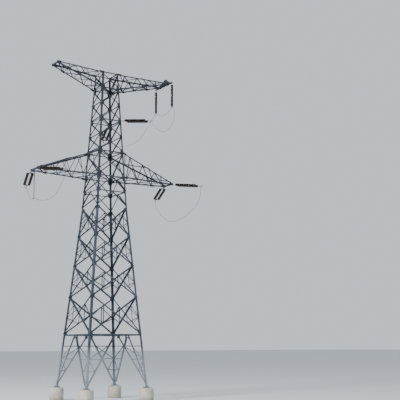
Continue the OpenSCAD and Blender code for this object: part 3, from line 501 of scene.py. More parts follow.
for name, route in routes.items():
    path = smooth_path(np.array(route) + [axis_x, 0, 0])
    walked = np.concatenate([[0.0], np.cumsum(np.linalg.norm(np.diff(path, axis=0), axis=1))])
    parts = [(cable(path, cable_d / 2, cable_sides), conductor)]
    piece = make_piece(
        name + "_conductor", parts, 60, strand_map(walked, cable_sides))
    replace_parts(piece, name)

# %% [markdown]
# ## Insulator strings
# Each tension set is two strings of sixteen cap-and-pin discs between two steel yokes. A disc is a
# deep double shed of glazed porcelain, ribbed below to lengthen the path of a creeping current,
# with an iron cap cemented on top and a steel pin below. The pin of one locks into the cap of the
# next. All of it is turned work, so a disc is three profiles revolved about the string.

# %% Discs and plates
disc_pitch, disc_count = 0.146, 16
string_len = disc_pitch * disc_count
cap_profile = [
    (0.003, 0.02), (0.004, 0.04), (0.01, 0.049), (0.024, 0.052), (0.029, 0.062), (0.036, 0.061)]
shell_profile = [
    (0.03, 0.056), (0.036, 0.092), (0.044, 0.122), (0.05, 0.137), (0.056, 0.14), (0.068, 0.139),
    (0.072, 0.13), (0.069, 0.11), (0.078, 0.094), (0.09, 0.094), (0.1, 0.115), (0.107, 0.131),
    (0.113, 0.1345), (0.124, 0.1335), (0.128, 0.125), (0.118, 0.11), (0.127, 0.094),
    (0.117, 0.08), (0.127, 0.062), (0.128, 0.024)]
pin_profile = [(0.124, 0.014), (0.134, 0.012), (0.137, 0.018), (0.148, 0.018)]


def string_of_discs(start, y=0.0):
    """Sixteen discs along X from start, each moved one pitch on from the last."""
    frames = np.tile(np.eye(3, 4), (disc_count, 1, 1))
    frames[:, 0, 3] = start + disc_pitch * np.arange(disc_count)
    frames[:, 1, 3] = y
    return [
        (placed(revolve(profile, sides), frames), material) for profile, sides, material in (
            (cap_profile, 12, cap_iron), (shell_profile, 18, porcelain), (pin_profile, 8, cap_iron))]


def rounded(outline, radius, steps=4):
    """Each corner c becomes the curve (1 - t)^2 a + 2 t (1 - t) c + t^2 b, with a and b on its sides."""
    c = np.asarray(outline, float)
    a = c + radius * unit(np.roll(c, 1, axis=0) - c)
    b = c + radius * unit(np.roll(c, -1, axis=0) - c)
    t = np.linspace(0, 1, steps)[None, :, None]
    curve = (1 - t) ** 2 * a[:, None] + 2 * t * (1 - t) * c[:, None] + t ** 2 * b[:, None]
    return curve.reshape(-1, 2)


washer_t, thread_out = 0.003, 0.009
# Widths over the flats of 16, 20 and 24 mm bolts
m16, m20, m24 = 0.024, 0.03, 0.036


def bolt_shape(grip, across):
    """Bolt along Z: washer and chamfered hexagon above z = 0, washer, nut and thread below -grip.

    A hexagon that measures across over its flats has corners at across / sqrt(3).
    """
    r, head = across / np.sqrt(3), across * 0.42
    washer_r = 1.28 * r
    nut = -grip - washer_t
    points, faces = [], []
    start = 0
    for profile, count in (
            ([(0, washer_r), (washer_t, washer_r)], 8),
            ([(washer_t, r), (washer_t + head * 0.8, r), (washer_t + head, r * 0.82)], 6),
            ([(nut, washer_r), (-grip, washer_r)], 8),
            ([(nut - head, r), (nut, r)], 6),
            ([(nut - head - thread_out, r * 0.48), (nut - head, r * 0.52)], 6)):
        ring, blocks = revolve(profile, count)
        points.append(ring[:, [1, 2, 0]])
        faces.extend(block + start for block in blocks)
        start += len(ring)
    return np.concatenate(points), faces


def moved_shape(parts, frame_3x4):
    """All shapes of a set in one frame."""
    return [(placed(shape, frame_3x4), material) for shape, material in parts]


# %% Tension sets
yoke_len, string_gap, link_len, twin = 0.15, 0.04, 0.3, 0.45
yoke_half_t = 0.009
clamp_x = link_len + 2 * yoke_len + 2 * string_gap + string_len
neck_profile = np.array([
    (0.0, 0.014), (0.006, 0.019), (0.04, 0.019), (0.048, 0.014), (0.062, 0.014)])
clamp_profile = [
    (0.02, 0.022), (0.088, 0.022), (0.098, 0.03), (0.2, 0.03), (0.205, 0.0285), (0.3, 0.0285),
    (0.305, 0.03), (0.44, 0.03), (0.445, 0.028), (0.58, 0.028), (0.592, 0.022), (0.6, 0.02),
    (0.6, 0.014), (0.45, 0.014)]
terminal_profile = [
    (-0.002, 0.024), (0.045, 0.024), (0.049, 0.042), (0.063, 0.042), (0.067, 0.024),
    (0.18, 0.024), (0.19, 0.021), (0.19, 0.014), (0.0905, 0.014)]


def shackle(t, d, reach):
    """A round bar bent to a U about X, with an eye on each leg and a bolt through both eyes."""
    z = t / 2 + seat + d / 4
    a = np.linspace(np.pi / 2, -np.pi / 2, 9)
    bow = np.stack([reach - z + z * np.cos(a), 0 * a, z * np.sin(a)], 1)
    leg = np.array([[0.6 * d, 0, z]])
    path = np.concatenate([leg, bow, leg * [1, 1, -1]])
    eye = prism(circle(1.2 * d, 16), -d / 4, d / 4)
    eyes = placed(eye, frames_at([[0, 0, z], [0, 0, -z]], z_dir, x_dir))
    bolt_frame = frames_at([0, 0, z + d / 4], z_dir, x_dir)
    bolt = placed(bolt_shape(2 * z + d / 2, 1.4 * d), bolt_frame)
    return [(cable(path, d * 0.42, 8), cap_iron), (eyes, cap_iron), (bolt, bolt_zinc)]


def yoke(x, way):
    """A triangular plate 18 mm thick with rounded corners, its point at x, and its three bolts."""
    w = twin / 2 + 0.05
    outline = np.array([
        [-0.06, 0.05], [-0.06, -0.05], [yoke_len - 0.04, -w], [yoke_len + 0.02, -w],
        [yoke_len + 0.02, w], [yoke_len - 0.04, w]])
    plate = rounded(outline, 0.025)
    if way < 0:
        plate = (plate * [-1, 1])[::-1]
    far = x + way * (yoke_len - 0.02)
    holes = [[x, 0, yoke_half_t], [far, twin / 2, yoke_half_t], [far, -twin / 2, yoke_half_t]]
    bolt_frames = frames_at(holes, z_dir, x_dir)
    return [
        (prism(plate + [x, 0], -yoke_half_t, yoke_half_t), cap_iron),
        (placed(bolt_shape(2 * yoke_half_t, m24), bolt_frames), bolt_zinc)]


def tension_set(roll_deg, lean_deg):
    """Everything from the lug to the end of the clamp, along X from the shackle's pin.

    The terminal hangs from the clamp, turned by roll about X and then leaning back along it.
    """
    first = link_len + yoke_len
    parts = shackle(0.02, 0.024, 0.12)
    link = rounded([[0.09, -0.027], [link_len, -0.027], [link_len, 0.027], [0.09, 0.027]], 0.02)
    parts.append((prism(link, -yoke_half_t, yoke_half_t), cap_iron))
    parts += yoke(link_len, 1)
    for y in (-twin / 2, twin / 2):
        parts += string_of_discs(first + string_gap, y)
        for x in (first - 0.016, first + string_gap + string_len - 0.006):
            shape, faces = revolve(neck_profile + [x, 0], 12)
            parts.append(((shape + [0, y, 0], faces), cap_iron))
    parts += yoke(clamp_x, -1)
    shape, faces = revolve(clamp_profile, 16)
    parts.append(((shape + [clamp_x, 0, 0], faces), clamp_alloy))
    roll_angle, lean_angle = np.radians([roll_deg, lean_deg])
    down = np.array([
        -np.sin(lean_angle), np.sin(roll_angle), -np.cos(roll_angle) * np.cos(lean_angle)])
    side = unit(np.cross(down, [1.0, 0.02, 0.0]))
    base = np.array([clamp_x + 0.33, 0, 0])
    terminal_frame = np.stack([down, side, np.cross(down, side), base], -1)
    parts.append((placed(revolve(terminal_profile, 16), terminal_frame), clamp_alloy))
    flange_x, flange_t, flange_bolt = 0.063, 0.014, 0.014
    ring = np.column_stack([np.full(6, flange_x), circle(0.034, 6)])
    flange_bolts = placed(bolt_shape(flange_t, flange_bolt), frames_at(ring, x_dir, y_dir))
    parts.append((placed(flange_bolts, terminal_frame), bolt_zinc))
    return parts


lower_reach, lower_tip_w = 7.46, 1.5
pins = {
    "lower_left": [-lower_reach + 0.02, lower_tip_w / 2 + 0.08, lower_arm_z - 0.006],
    "lower_right": [lower_reach - 0.06, lower_tip_w / 2 + 0.08, lower_arm_z - 0.006],
    "middle": [half(middle_z) + 0.04, half(middle_z) + 0.1, middle_z]}
# Azimuth and fall aim a set, and roll and lean turn its terminal, all in degrees
for place_name, side_name, azimuth, fall, roll_deg, lean_deg in (
        ("lower_left", "front", -65, 7, 0, 0), ("lower_left", "back", 75, 16, 0, 35),
        ("lower_right", "front", -61, 7, 0, 0), ("lower_right", "back", 75, 16, 0, 0),
        ("middle", "front", -61, 7, 60, 0), ("middle", "back", 75, 16, -60, 0)):
    az, dip = np.radians([azimuth, fall])
    along = np.array([np.cos(az) * np.cos(dip), np.sin(az) * np.cos(dip), -np.sin(dip)])
    across = np.array([-np.sin(az), np.cos(az), 0.0])
    s = -1 if side_name == "front" else 1
    origin = np.array(pins[place_name]) * [1, s, 1] + [axis_x, 0, 0]
    set_frame = np.stack([along, across, np.cross(along, across), origin], -1)
    parts = moved_shape(tension_set(roll_deg, lean_deg), set_frame)
    node = f"tension_set_{place_name}_{side_name}"
    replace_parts(make_piece(node + "_dressed", parts), node)

# %% [markdown]
# ## Jumper strings
# Three more strings keep the jumpers off the steel. Two hang from the beam and are discs. The third,
# on the left arm, looks thinner and paler, as a long-rod insulator does: a glass-fibre rod in a
# silicone rubber skin with wide and narrow sheds by turns. Each ends in a boat-shaped clamp.

# %% Jumper strings
def long_rod(start):
    """Sheds of two sizes by turns, 62 mm apart, on a rod between two steel sockets."""
    count, pitch = 38, 0.062
    k = np.arange(count)
    rim = np.where(k % 2 == 0, 0.075, 0.058)
    x = start + 0.08 + (k[:, None] + [0.1, 0.38, 0.5, 0.56, 0.66]) * pitch
    r = np.stack([np.full(count, 0.0155), rim * 0.55, rim, rim * 0.96, np.full(count, 0.0155)], 1)
    sheds = np.stack([x.ravel(), r.ravel()], 1)
    socket = np.array([(0.0, 0.02), (0.005, 0.026), (0.07, 0.026), (0.085, 0.018), (0.09, 0.0165)])
    far = start + 0.16 + count * pitch
    return [
        (revolve(sheds, 18), rubber),
        (revolve(socket + [start, 0], 12), cap_iron),
        (revolve((socket * [-1, 1] + [far, 0])[::-1], 12), cap_iron)], far


def boat_clamp(x):
    """A flared sleeve about Y at x, two hanger straps with their bolt, two U-bolts, a bridge."""
    outer = [(-0.11, 0.0142), (-0.11, 0.022), (-0.07, 0.0275), (0.07, 0.0275), (0.11, 0.022),
             (0.11, 0.0142)]
    shape, faces = revolve(outer, 16, loop=True)
    sleeve = (shape[:, [1, 0, 2]] * [1, 1, -1] + [x, 0, 0], faces)
    strap = rounded([[-0.012, -0.022], [0.1, -0.022], [0.1, 0.022], [-0.012, 0.022]], 0.014)
    strap = strap + [x - 0.085, 0]
    parts = [(sleeve, clamp_alloy)]
    for z in (-0.036, 0.03):
        parts.append((prism(strap, z, z + 0.006), cap_iron))
    hang = frames_at([[x - 0.07, 0, 0.036]], z_dir, x_dir)
    parts.append((placed(bolt_shape(0.072, m16), hang), bolt_zinc))
    a = np.linspace(0, np.pi, 9)
    for y in (-0.06, 0.06):
        bow = np.stack([x + 0.034 * np.sin(a), 0 * a + y, 0.034 * np.cos(a)], 1)
        leg = np.array([[x - 0.05, y, 0.034]])
        bent = np.concatenate([leg, bow, leg - [0, 0, 0.068]])
        parts.append((cable(bent, 0.006, 6), bolt_zinc))
    bridge = rounded([[-0.076, -0.042], [0.076, -0.042], [0.076, 0.042], [-0.076, 0.042]], 0.01)
    shape, faces = prism(bridge, 0.0, 0.008)
    upright_bridge = np.stack([x - 0.038 + shape[:, 2], shape[:, 0], -shape[:, 1]], 1)
    parts.append(((upright_bridge, faces), cap_iron))
    return parts


top_tip_right_z = top_z - 0.11
strut_size, corner_t, corner_sink = 0.09, 0.014, 0.0025
beam_x, beam_len, beam_half_gap = 6.83, 3.3, 0.034
beam_z = top_tip_right_z + corner_sink + seat + strut_size / 2
hang_z = beam_z - strut_size / 2 - 0.05
hang_points = {
    "lower_left": [-lower_reach + 0.04, 0.0, lower_arm_z - 0.05],
    "top_front": [beam_x, -beam_len / 2 + 0.06, hang_z],
    "top_back": [beam_x, beam_len / 2 - 0.06, hang_z]}
string_start = 0.11
ball_eye = [(0.08, 0.014), (0.084, 0.018), (0.1, 0.018), (0.112, 0.013)]
for name, point in hang_points.items():
    parts = shackle(0.016, 0.02, 0.09)
    parts.append((revolve(ball_eye, 10), cap_iron))
    if name == "lower_left":
        body, far = long_rod(string_start)
        parts += body
    else:
        parts += string_of_discs(string_start)
        far = string_start + string_len
    socket_eye = [(far - 0.008, 0.016), (far + 0.03, 0.016), (far + 0.04, 0.02)]
    parts.append((revolve(socket_eye, 10), cap_iron))
    parts += boat_clamp(far + 0.085)
    origin = np.array(point) + [axis_x, 0, 0]
    down_frame = np.stack([-z_dir, y_dir, x_dir, origin], -1)
    node = "jumper_string_" + name
    piece = make_piece(node + "_dressed", moved_shape(parts, down_frame))
    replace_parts(piece, node)

# %% [markdown]
# ## Bolts
# Nothing on such a tower is welded on site: every bar is bolted, with 16 mm bolts in the light
# bars and up to 24 mm in the legs. A bolt's place follows from the bar it holds. Points are worked
# out once on the front face, and the other three faces are quarter turns of it about the tower's
# axis. Each bolt is told how far along the face's normal its head and its nut sit.

# %% Members of the tower
leg, leg_t = 0.2, 0.018
shaft_leg, shaft_leg_t = 0.16, 0.014
brace_t, shaft_brace_t, second_t = 0.01, 0.007, 0.006
strut_t, chord_t, plate_t = 0.008, 0.009, 0.012
inside, shaft_inside = -leg_t - seat, -shaft_leg_t - seat
waist_mid_z = waist_z + 1.5
splice_z, splice_len = waist_z + 0.6, 0.7
foot_plate_t = 0.034
quarters = np.array([
    [[c, -s, 0], [s, c, 0], [0, 0, 1.0]] for c, s in ((1, 0), (0, 1), (-1, 0), (0, -1))])


def mix(a, b, f):
    """The point (1 - f) a + f b."""
    return (1 - f) * np.asarray(a, float) + f * np.asarray(b, float)


def face_point(side, z, inset=0.0):
    """A point of the front face, inset from its left (side -1) or right (side 1) heel."""
    return np.array([side * (half(z) - inset), -half(z), z])


def face_normal(z):
    """The front face's outward normal: (0, -1, k) made a unit vector, with k its slope."""
    slope = (half(z) - half(z + 0.01)) / 0.01
    return unit([0, -1, slope])


def on_faces(vectors, mirrored=False):
    """Vectors of the front face on all four faces, with their mirror images if asked."""
    v = np.asarray(vectors, float).reshape(-1, 3)
    if mirrored:
        v = np.concatenate([v, v * [-1, 1, 1]])
    return np.einsum("fij,pj->fpi", quarters, v).reshape(-1, 3)


def bolts(points, normals, head, nut, across):
    """Bolts through points given from the tower's axis. Head and nut are heights on the normals."""
    n = unit(np.broadcast_to(normals, np.shape(points)))
    start = points + head * n + [axis_x, 0, 0]
    return placed(bolt_shape(head - nut, across), frames_at(start, n, n[:, [1, 2, 0]]))


def face_bolts(points, n, head, nut, across, mirrored=False):
    """The same bolts on all four faces."""
    points = np.asarray(points, float).reshape(-1, 3)
    normals = np.broadcast_to(n, points.shape)
    return bolts(on_faces(points, mirrored), on_faces(normals, mirrored), head, nut, across)


def along_bar(p, q, distances):
    """Points at distances from p towards q."""
    return np.asarray(p) + np.asarray(distances, float)[:, None] * unit(np.asarray(q) - p)


# %% [markdown]
# Where the diagonals of two panels meet on a leg, a plate as thick as the leg's flange stands
# beside it: one diagonal is bolted to its front and the other to its back. These plates are what
# makes each joint of the lattice look like a dark knot from afar.

# %% Node plates
edge_gap = 0.001


def node_plates(z, flange, flange_t, reach, rise):
    """Six-sided plates beside both legs of every face at height z, sheared to follow the leg.

    In the face, u runs from the flange's edge to the face's middle and v runs up, so that a corner
    is at flange + u + slope v from the heel, with slope the lean of the leg.
    """
    slope = (half(z - 0.01) - half(z + 0.01)) / 0.02
    n = face_normal(z)
    u = reach * np.array([0, 0.4, 1, 1, 0.4, 0])
    v = rise * np.array([-1, -1, -0.55, 0.55, 1, 1])
    outline = np.stack([flange + edge_gap + u + slope * v, v], 1)
    frames = np.stack([
        np.stack([[-side, 0, 0], np.cross(n, x_dir), -side * n,
                  face_point(side, z) - n * flange_t / 2], -1) for side in (-1, 1)])
    frames = np.einsum("fij,pjk->fpik", quarters, frames).reshape(-1, 3, 4)
    frames[:, 0, 3] += axis_x
    return placed(prism(outline, -flange_t / 2, flange_t / 2), frames)


half_1, half_2 = (middle_z - lower_arm_top_z) / 2, (top_arm_z - middle_z) / 2
plates = [node_plates(z, leg, leg_t, 0.13, 0.22) for z in panels[1:4]]
plates += [
    node_plates(ring_z + 0.1, leg, leg_t, 0.15, 0.2),
    node_plates(waist_z - 0.2, leg, leg_t, 0.15, 0.17)]
plates += [
    node_plates(z, shaft_leg, shaft_leg_t, reach, rise) for z, reach, rise in (
        (waist_mid_z + 0.05, 0.17, 0.2), (lower_arm_z, 0.17, 0.36),
        (lower_arm_top_z, 0.17, 0.36), (lower_arm_top_z + half_1, 0.15, 0.2),
        (middle_z, 0.17, 0.28), (middle_z + half_2, 0.15, 0.2), (top_arm_z, 0.15, 0.36))]
make_piece("node_plates", [(shape, body_zinc) for shape in plates], 30)

# %% Bolts of crossed panels
def crossed_panel(z1, z2, low, high, plated, t, flange, flange_t, stays, across):
    """Bolts of the diagonals' ends, of their crossing and of the stays.

    Each end has two bolts through the leg, and a third one just past the edge of its flange where
    plated, a pair for the low and the high ends, says that a node plate is there.
    """
    n = face_normal((z1 + z2) / 2)
    inset = flange / 2
    a, b = face_point(-1, z1 + low, inset), face_point(1, z1 + low, inset)
    c, d = face_point(-1, z2 - high, inset), face_point(1, z2 - high, inset)
    w1, w2 = b[0] - a[0], d[0] - c[0]
    middle = mix(a, d, w1 / (w1 + w2))
    steps = [-0.05 * flange, 0.26 * flange]
    past_edge = [(inset + across + 0.01) / abs(unit(d - a)[0])]
    low_steps, high_steps = (steps + (past_edge if there else []) for there in plated)
    back = -flange_t - seat
    outer = np.concatenate([along_bar(a, d, low_steps), along_bar(d, a, high_steps)])
    inner = np.concatenate([along_bar(b, c, low_steps), along_bar(c, b, high_steps)])
    out = [
        face_bolts(outer, n, seat + t, -flange_t, across),
        face_bolts(inner, n, 0.0, back - t, across),
        face_bolts(middle, n, seat + t, back - t, across)]
    if stays:
        legs = [face_point(side, mix(z1, z2, 0.46), inset) for side in (-1, 1)]
        on_outer = [mix(a, middle, 0.52), mix(d, middle, 0.5)]
        on_inner = [mix(b, middle, 0.52), mix(c, middle, 0.5)]
        out += [
            face_bolts(legs, n, seat + second_t, back - second_t, m16),
            face_bolts(on_outer, n, seat + t, back - second_t, m16),
            face_bolts(on_inner, n, seat + second_t, back - t, m16)]
    return out


node_margin, strut_margin, arm_margin, ring_margin, waist_margin = 0.03, 0.13, 0.215, 0.15, 0.075
lower_bolts = []
for k in range(4):
    lower_bolts += crossed_panel(
        panels[k], panels[k + 1], ring_margin if k == 0 else node_margin,
        waist_margin if k == 3 else node_margin, (True, True), brace_t, leg, leg_t, True, m24)
shaft_bolts = []
for z1, z2, low, high in (
        (lower_arm_z, lower_arm_top_z, arm_margin, arm_margin),
        (lower_arm_top_z, lower_arm_top_z + half_1, arm_margin, node_margin),
        (middle_z - half_1, middle_z, node_margin, strut_margin),
        (middle_z, middle_z + half_2, strut_margin, node_margin),
        (top_arm_z - half_2, top_arm_z, node_margin, arm_margin),
        (top_arm_z, top_strut_z, arm_margin, arm_margin)):
    shaft_bolts += crossed_panel(
        z1, z2, low, high, (True, z2 < top_strut_z), shaft_brace_t, shaft_leg, shaft_leg_t, False,
        m16)

# %% Bolts of the foot, the ring, the splices and the struts
foot_top_z, foot_low_z = ring_z - 0.2, pier_h + 0.42
foot_n = face_normal(pier_h)
v_top = np.array([-0.26, -half(foot_top_z), foot_top_z])
v_foot = face_point(-1, foot_low_z, leg / 2 + 0.03)
shares = (0.27, 0.52, 0.8)
leg_ends = [face_point(-1, mix(foot_low_z, foot_top_z, f), leg / 2) for f in shares]
v_ends = [mix(v_foot, v_top, f) for f in shares]
at_foot = along_bar(v_foot, v_top, [-0.035, 0.045])
at_top = along_bar(v_top, v_foot, [-0.035, 0.04])
lower_bolts += [
    face_bolts(at_foot, foot_n, seat + brace_t, -leg_t, m24, True),
    face_bolts(at_top, foot_n, seat + brace_t, -plate_t, m24, True),
    face_bolts(leg_ends, foot_n, 0.0, inside - second_t, m16, True),
    face_bolts(v_ends, foot_n, seat + brace_t, inside - second_t, m16, True)]

ring_bar_z = ring_z - 0.02
ring_n = face_normal(ring_bar_z)
ring_ends = [face_point(-1, ring_bar_z, inset) for inset in (0.075, 0.15)]
ring_plates = [[x, -half(ring_bar_z), ring_bar_z] for x in (-0.37, -0.28, -0.19)]
shelf_z, shelf_t, plan_t = ring_bar_z - 0.03, 0.01, 0.007
plan_end = np.array([-0.07, -half(ring_bar_z) + 0.12, shelf_z])
plan_far = np.array([-half(ring_bar_z) + 0.12, -0.07, shelf_z])
plan_points = along_bar(plan_end, plan_far, [0.04, 0.11])
lower_bolts += [
    face_bolts(ring_ends, ring_n, seat + brace_t, -leg_t, m24, True),
    face_bolts(ring_plates, ring_n, seat + brace_t, -plate_t, m20, True),
    face_bolts(plan_points, z_dir, shelf_t - bite + plan_t, 0.0, m20, True)]

splice_n = face_normal(splice_z)
splice_points = [
    face_point(-1, splice_z + splice_len * f, inset)
    for f in (-0.35, -0.15, 0.15, 0.35) for inset in (0.055, 0.11)]
shaft_bolts.append(face_bolts(splice_points, splice_n, 0.0, shaft_inside - plate_t, m24, True))

for z in (waist_mid_z, middle_z):
    ends = [face_point(-1, z, inset) for inset in (0.06, 0.12)]
    shaft_bolts.append(face_bolts(ends, face_normal(z), 0.0, shaft_inside - strut_t, m16, True))
gusset_back, gusset_t = shaft_inside - 0.009, 0.01
for z1, z2 in ((waist_z, waist_mid_z), (waist_mid_z, lower_arm_z)):
    n = face_normal(z1 + 0.01)
    foot = face_point(-1, z1 + strut_margin, shaft_leg / 2)
    head = np.array([0, -half(z2 - 0.06), z2 - 0.06])
    feet, on_strut = along_bar(foot, head, [-0.02, 0.035]), [-0.14, -half(z2), z2 - 0.01]
    shaft_bolts += [
        face_bolts(feet, n, seat + shaft_brace_t, -shaft_leg_t, m16, True),
        face_bolts(mix(head, foot, 0.1), n, seat + shaft_brace_t, gusset_back, m16, True),
        face_bolts(on_strut, n, gusset_back + gusset_t, gusset_back, m16, True)]

# %% [markdown]
# The crossarms are pyramids lying on their sides. Each chord runs from a bent plate on its leg to
# the tip, so every joint is a fraction of the way along a chord, moved a little up or down the side.

# %% Bolts of the crossarms
camber, tip_depth, bays = 0.03, 0.19, 4
root_gap, root_out, lacing_out = 0.016, 0.01 + seat, second_t - bite
# Way from the axis, reach, width of the tip, heights of the low and high roots and of the tip
arms = [
    (-1, lower_reach, lower_tip_w, lower_arm_z - camber, lower_arm_top_z, lower_arm_z),
    (1, lower_reach, lower_tip_w, lower_arm_z - camber, lower_arm_top_z, lower_arm_z),
    (-1, 5.65, 1.24, top_arm_z, top_strut_z, top_z + 0.04),
    (1, 6.65, 1.7, top_arm_z, top_strut_z, top_tip_right_z)]


def arm_bolts(way, reach, tip_w, z_low, z_high, tip_z):
    """Bolts of one crossarm, drawn to the right, and mirrored in X for a left one (way = -1)."""
    groups = []
    for s in (-1, 1):
        low = np.array([half(z_low) + root_gap, s * (half(z_low) + root_out), z_low])
        high = np.array([half(z_high) + root_gap, s * (half(z_high) + root_out), z_high])
        rise = unit(high - low)
        tip_low = np.array([reach, s * tip_w / 2, tip_z])
        tip_high = tip_low + rise * tip_depth
        n = unit(np.cross(tip_low - low, high - low))
        n = n if n[1] * s > 0 else -n
        below = [mix(low, tip_low, k / bays) + 0.03 * rise for k in range(1, bays - 1)]
        above = [mix(high, tip_high, (k + 0.5) / bays) - 0.03 * rise for k in range(bays - 1)]
        inner = [mix(low, tip_low, k / bays) + 0.05 * rise for k in range(1, bays - 1)]
        joint, ahead = mix(low, tip_low, (bays - 1) / bays), unit(tip_low - low)
        plate = [
            joint + x * ahead + y * rise for x in (-0.13, -0.045, 0.045, 0.13) for y in (0.0, 0.08)]
        tip_plate = [
            tip_low + x * ahead + y * rise for x in (-0.32, -0.21, -0.1) for y in (0.03, 0.16)]
        groups += [
            (below + above, n, lacing_out, -chord_t, m16),
            (inner, n, 0.0, -chord_t - lacing_out, m16),
            (plate + tip_plate, n, plate_t - bite / 2, -chord_t, m20)]
        for root, tip, up_down in ((low, tip_low, 1), (high, tip_high, -1)):
            u = unit(tip - root)
            rows = [
                root + x * u + y * up_down * rise
                for x in (0.07, 0.15, 0.23, 0.31) for y in (0.035, 0.085)]
            z = root[2]
            on_leg = [
                [half(z) - x, s * half(z), z + up_down * 0.025 + dz]
                for x in (0.045, 0.115) for dz in (-0.07, 0.0, 0.07)]
            groups += [
                (rows, n, plate_t - bite, -chord_t, m20),
                (on_leg, face_normal(z) * [1, -s, 1], seat + plate_t, -shaft_leg_t, m20)]
    for z, z_tip, crossed in ((z_low, tip_z, True), (z_high, tip_z + tip_depth, False)):
        front = np.array([half(z) + root_gap, -half(z) - root_out, z])
        tip = np.array([reach, -tip_w / 2, z_tip])
        n = unit(np.cross(y_dir, tip - front))
        n = n * np.sign(n[2]) * (-1 if crossed else 1)
        for k in range(bays):
            f1, f2 = max(k / bays, 0.03), min((k + 1) / bays, 0.97)
            s = -1 if k % 2 == 0 else 1
            ends = [mix(front, tip, f) * [1, -side, 1] - [0, 0.03 * side, 0]
                    for f, side in ((f1 + 0.004, s), (f2 - 0.004, -s))]
            groups.append((ends, n, lacing_out, -chord_t, m16))
            if crossed:
                ends = [p * [1, -1, 1] for p in ends]
                groups.append((ends, n, 0.0, -chord_t - lacing_out, m16))
    corner = [
        [reach - x, s * (tip_w / 2 - 0.05), tip_z] for x in (0.33, 0.21, 0.09) for s in (-1, 1)]
    groups.append((corner, -z_dir, corner_t - corner_sink, -chord_t, m20))
    mirror = np.array([way, 1, 1])
    return [
        bolts(np.array(points) * mirror, n * mirror, head, nut, across)
        for points, n, head, nut, across in groups]


crossarm_bolts = [shape for sizes in arms for shape in arm_bolts(*sizes)]
beam_points = np.array([
    [beam_x, share * beam_len + aside, beam_z]
    for share in (-0.43, -0.2, 0, 0.2, 0.43) for aside in (-0.035, 0.035)])
crossarm_bolts.append(bolts(beam_points, x_dir, beam_half_gap, -beam_half_gap, m20))

# %% [markdown]
# Each leg stands on a plate that four thick anchor bolts hold to the pier, with a washer and two
# nuts on each. One leg carries step bolts on its two flanges by turns, to climb by.

# %% Anchor bolts and step bolts
anchor_profiles = [
    ([(0.0, 0.052), (0.006, 0.052)], 16),
    ([(0.006, 0.041), (0.04, 0.041), (0.043, 0.037)], 6),
    ([(0.043, 0.037), (0.046, 0.041), (0.072, 0.041), (0.076, 0.036)], 6),
    ([(0.076, 0.022), (0.122, 0.022), (0.126, 0.019)], 12)]
centre = half(pier_h) - leg * 0.3
anchor_points = [
    [-centre + x, -centre + y, pier_h + seat + foot_plate_t]
    for x in (-0.2, 0.2) for y in (-0.2, 0.2)]
upright_frames = frames_at(on_faces(anchor_points) + [axis_x, 0, 0], x_dir, y_dir)
upright_frames[:, :, :3] = np.stack([y_dir, z_dir, x_dir])
anchor_bolts = [placed(revolve(*profile), upright_frames) for profile in anchor_profiles]

step_z = 3.2 + 0.45 * np.arange(56)
step_side = np.arange(len(step_z)) % 2
step_points = np.stack([
    np.where(step_side == 0, -half(step_z), -half(step_z) + 0.1),
    np.where(step_side == 0, half(step_z) - 0.1, half(step_z)), step_z], 1)
step_normals = np.where(step_side[:, None] == 0, [-1.0, 0, 0.08], [0, 1.0, 0.08])
step_profile = [
    (-0.03, 0.009), (0.004, 0.009), (0.006, 0.016), (0.018, 0.016), (0.02, 0.008), (0.158, 0.008),
    (0.16, 0.015), (0.172, 0.015)]
step_aside = np.cross(step_normals, z_dir)
step_frames = frames_at(step_points + [axis_x, 0, 0], step_aside, step_normals)
step_bolts = placed(revolve(step_profile, 8), step_frames)

for name, shapes in (
        ("lower_body_bolts", lower_bolts), ("shaft_bolts", shaft_bolts),
        ("crossarm_bolts", crossarm_bolts), ("anchor_bolts", anchor_bolts),
        ("step_bolts", [step_bolts])):
    make_piece(name, [(shape, bolt_zinc) for shape in shapes], 30)

# %% [markdown]
# ## Finishes on the CAD pieces
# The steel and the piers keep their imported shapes, and each piece gets the finish of what it is.

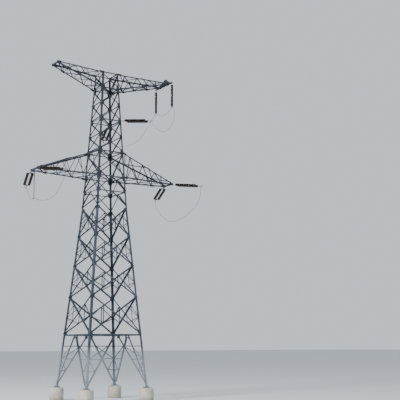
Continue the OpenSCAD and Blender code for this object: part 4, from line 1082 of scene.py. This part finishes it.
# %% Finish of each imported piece
finishes = [
    ("pier_", pier_concrete),
    ("tension_set_", porcelain),
    ("jumper_string_lower_left", rubber),
    ("jumper_string_top_", porcelain)]
for name, piece in nodes.items():
    chosen = next((finish for start, finish in finishes if name.startswith(start)), body_zinc)
    piece.data.materials.clear()
    piece.data.materials.append(chosen)
print("finished", len(nodes), "packed pieces")

# %% [markdown]
# ## Floor and light
# The part is shown on a plain pale floor that runs to the horizon. A soft light stands to the left, a
# wider and weaker one fills from the right of the camera, and the pale room gives the rest. The
# backdrop is lit by itself, as in a studio, so that the steel stands out dark before it.

# %% Floor
floor_reach = 900.0
floor_mesh = bpy.data.meshes.new("floor")
floor_mesh.from_pydata(
    [(x * floor_reach, y * floor_reach, 0) for x, y in ((-1, -1), (1, -1), (1, 1), (-1, 1))], [],
    [(0, 1, 2, 3)])
floor = bpy.data.objects.new("floor", floor_mesh)
bpy.context.scene.collection.objects.link(floor)
floor_mesh.materials.append(make_material(
    "pale_floor", lambda tree, place: {"Base Color": "#e6e8ea", "Roughness": 0.9}))

# %% Light
room_light, backdrop_light = 0.8, 1.0
world = bpy.data.worlds.new("pale_room")
bpy.context.scene.world = world
world.use_nodes = True
room = world.node_tree
room.nodes.clear()
seen = add(room, "LightPath", {}, "Is Camera Ray")
strength = add(room, "MapRange", {"Value": seen, "To Min": room_light, "To Max": backdrop_light})
glow = add(room, "Background", {"Color": "#dfe8f2", "Strength": strength})
add(room, "OutputWorld", {"Surface": glow}, None)


def soft_light(name, place, target, size, watts):
    """A square area light of the given size, aimed from place to target."""
    data = bpy.data.lights.new(name, "AREA")
    data.shape = "SQUARE"
    data.size = size
    data.energy = watts
    lamp = bpy.data.objects.new(name, data)
    away = unit(np.array(place, float) - np.array(target, float))
    side = unit(np.cross(z_dir, away))
    turn = np.eye(4)
    turn[:3, :3] = np.stack([side, np.cross(away, side), away], axis=1)
    turn[:3, 3] = place
    lamp.matrix_world = Matrix(turn.tolist())
    bpy.context.scene.collection.objects.link(lamp)


soft_light("key", (-75, -20, 45), (0, 0, 14), 18, 95000)
soft_light("fill", (30, -80, 40), (0, 0, 16), 40, 12000)
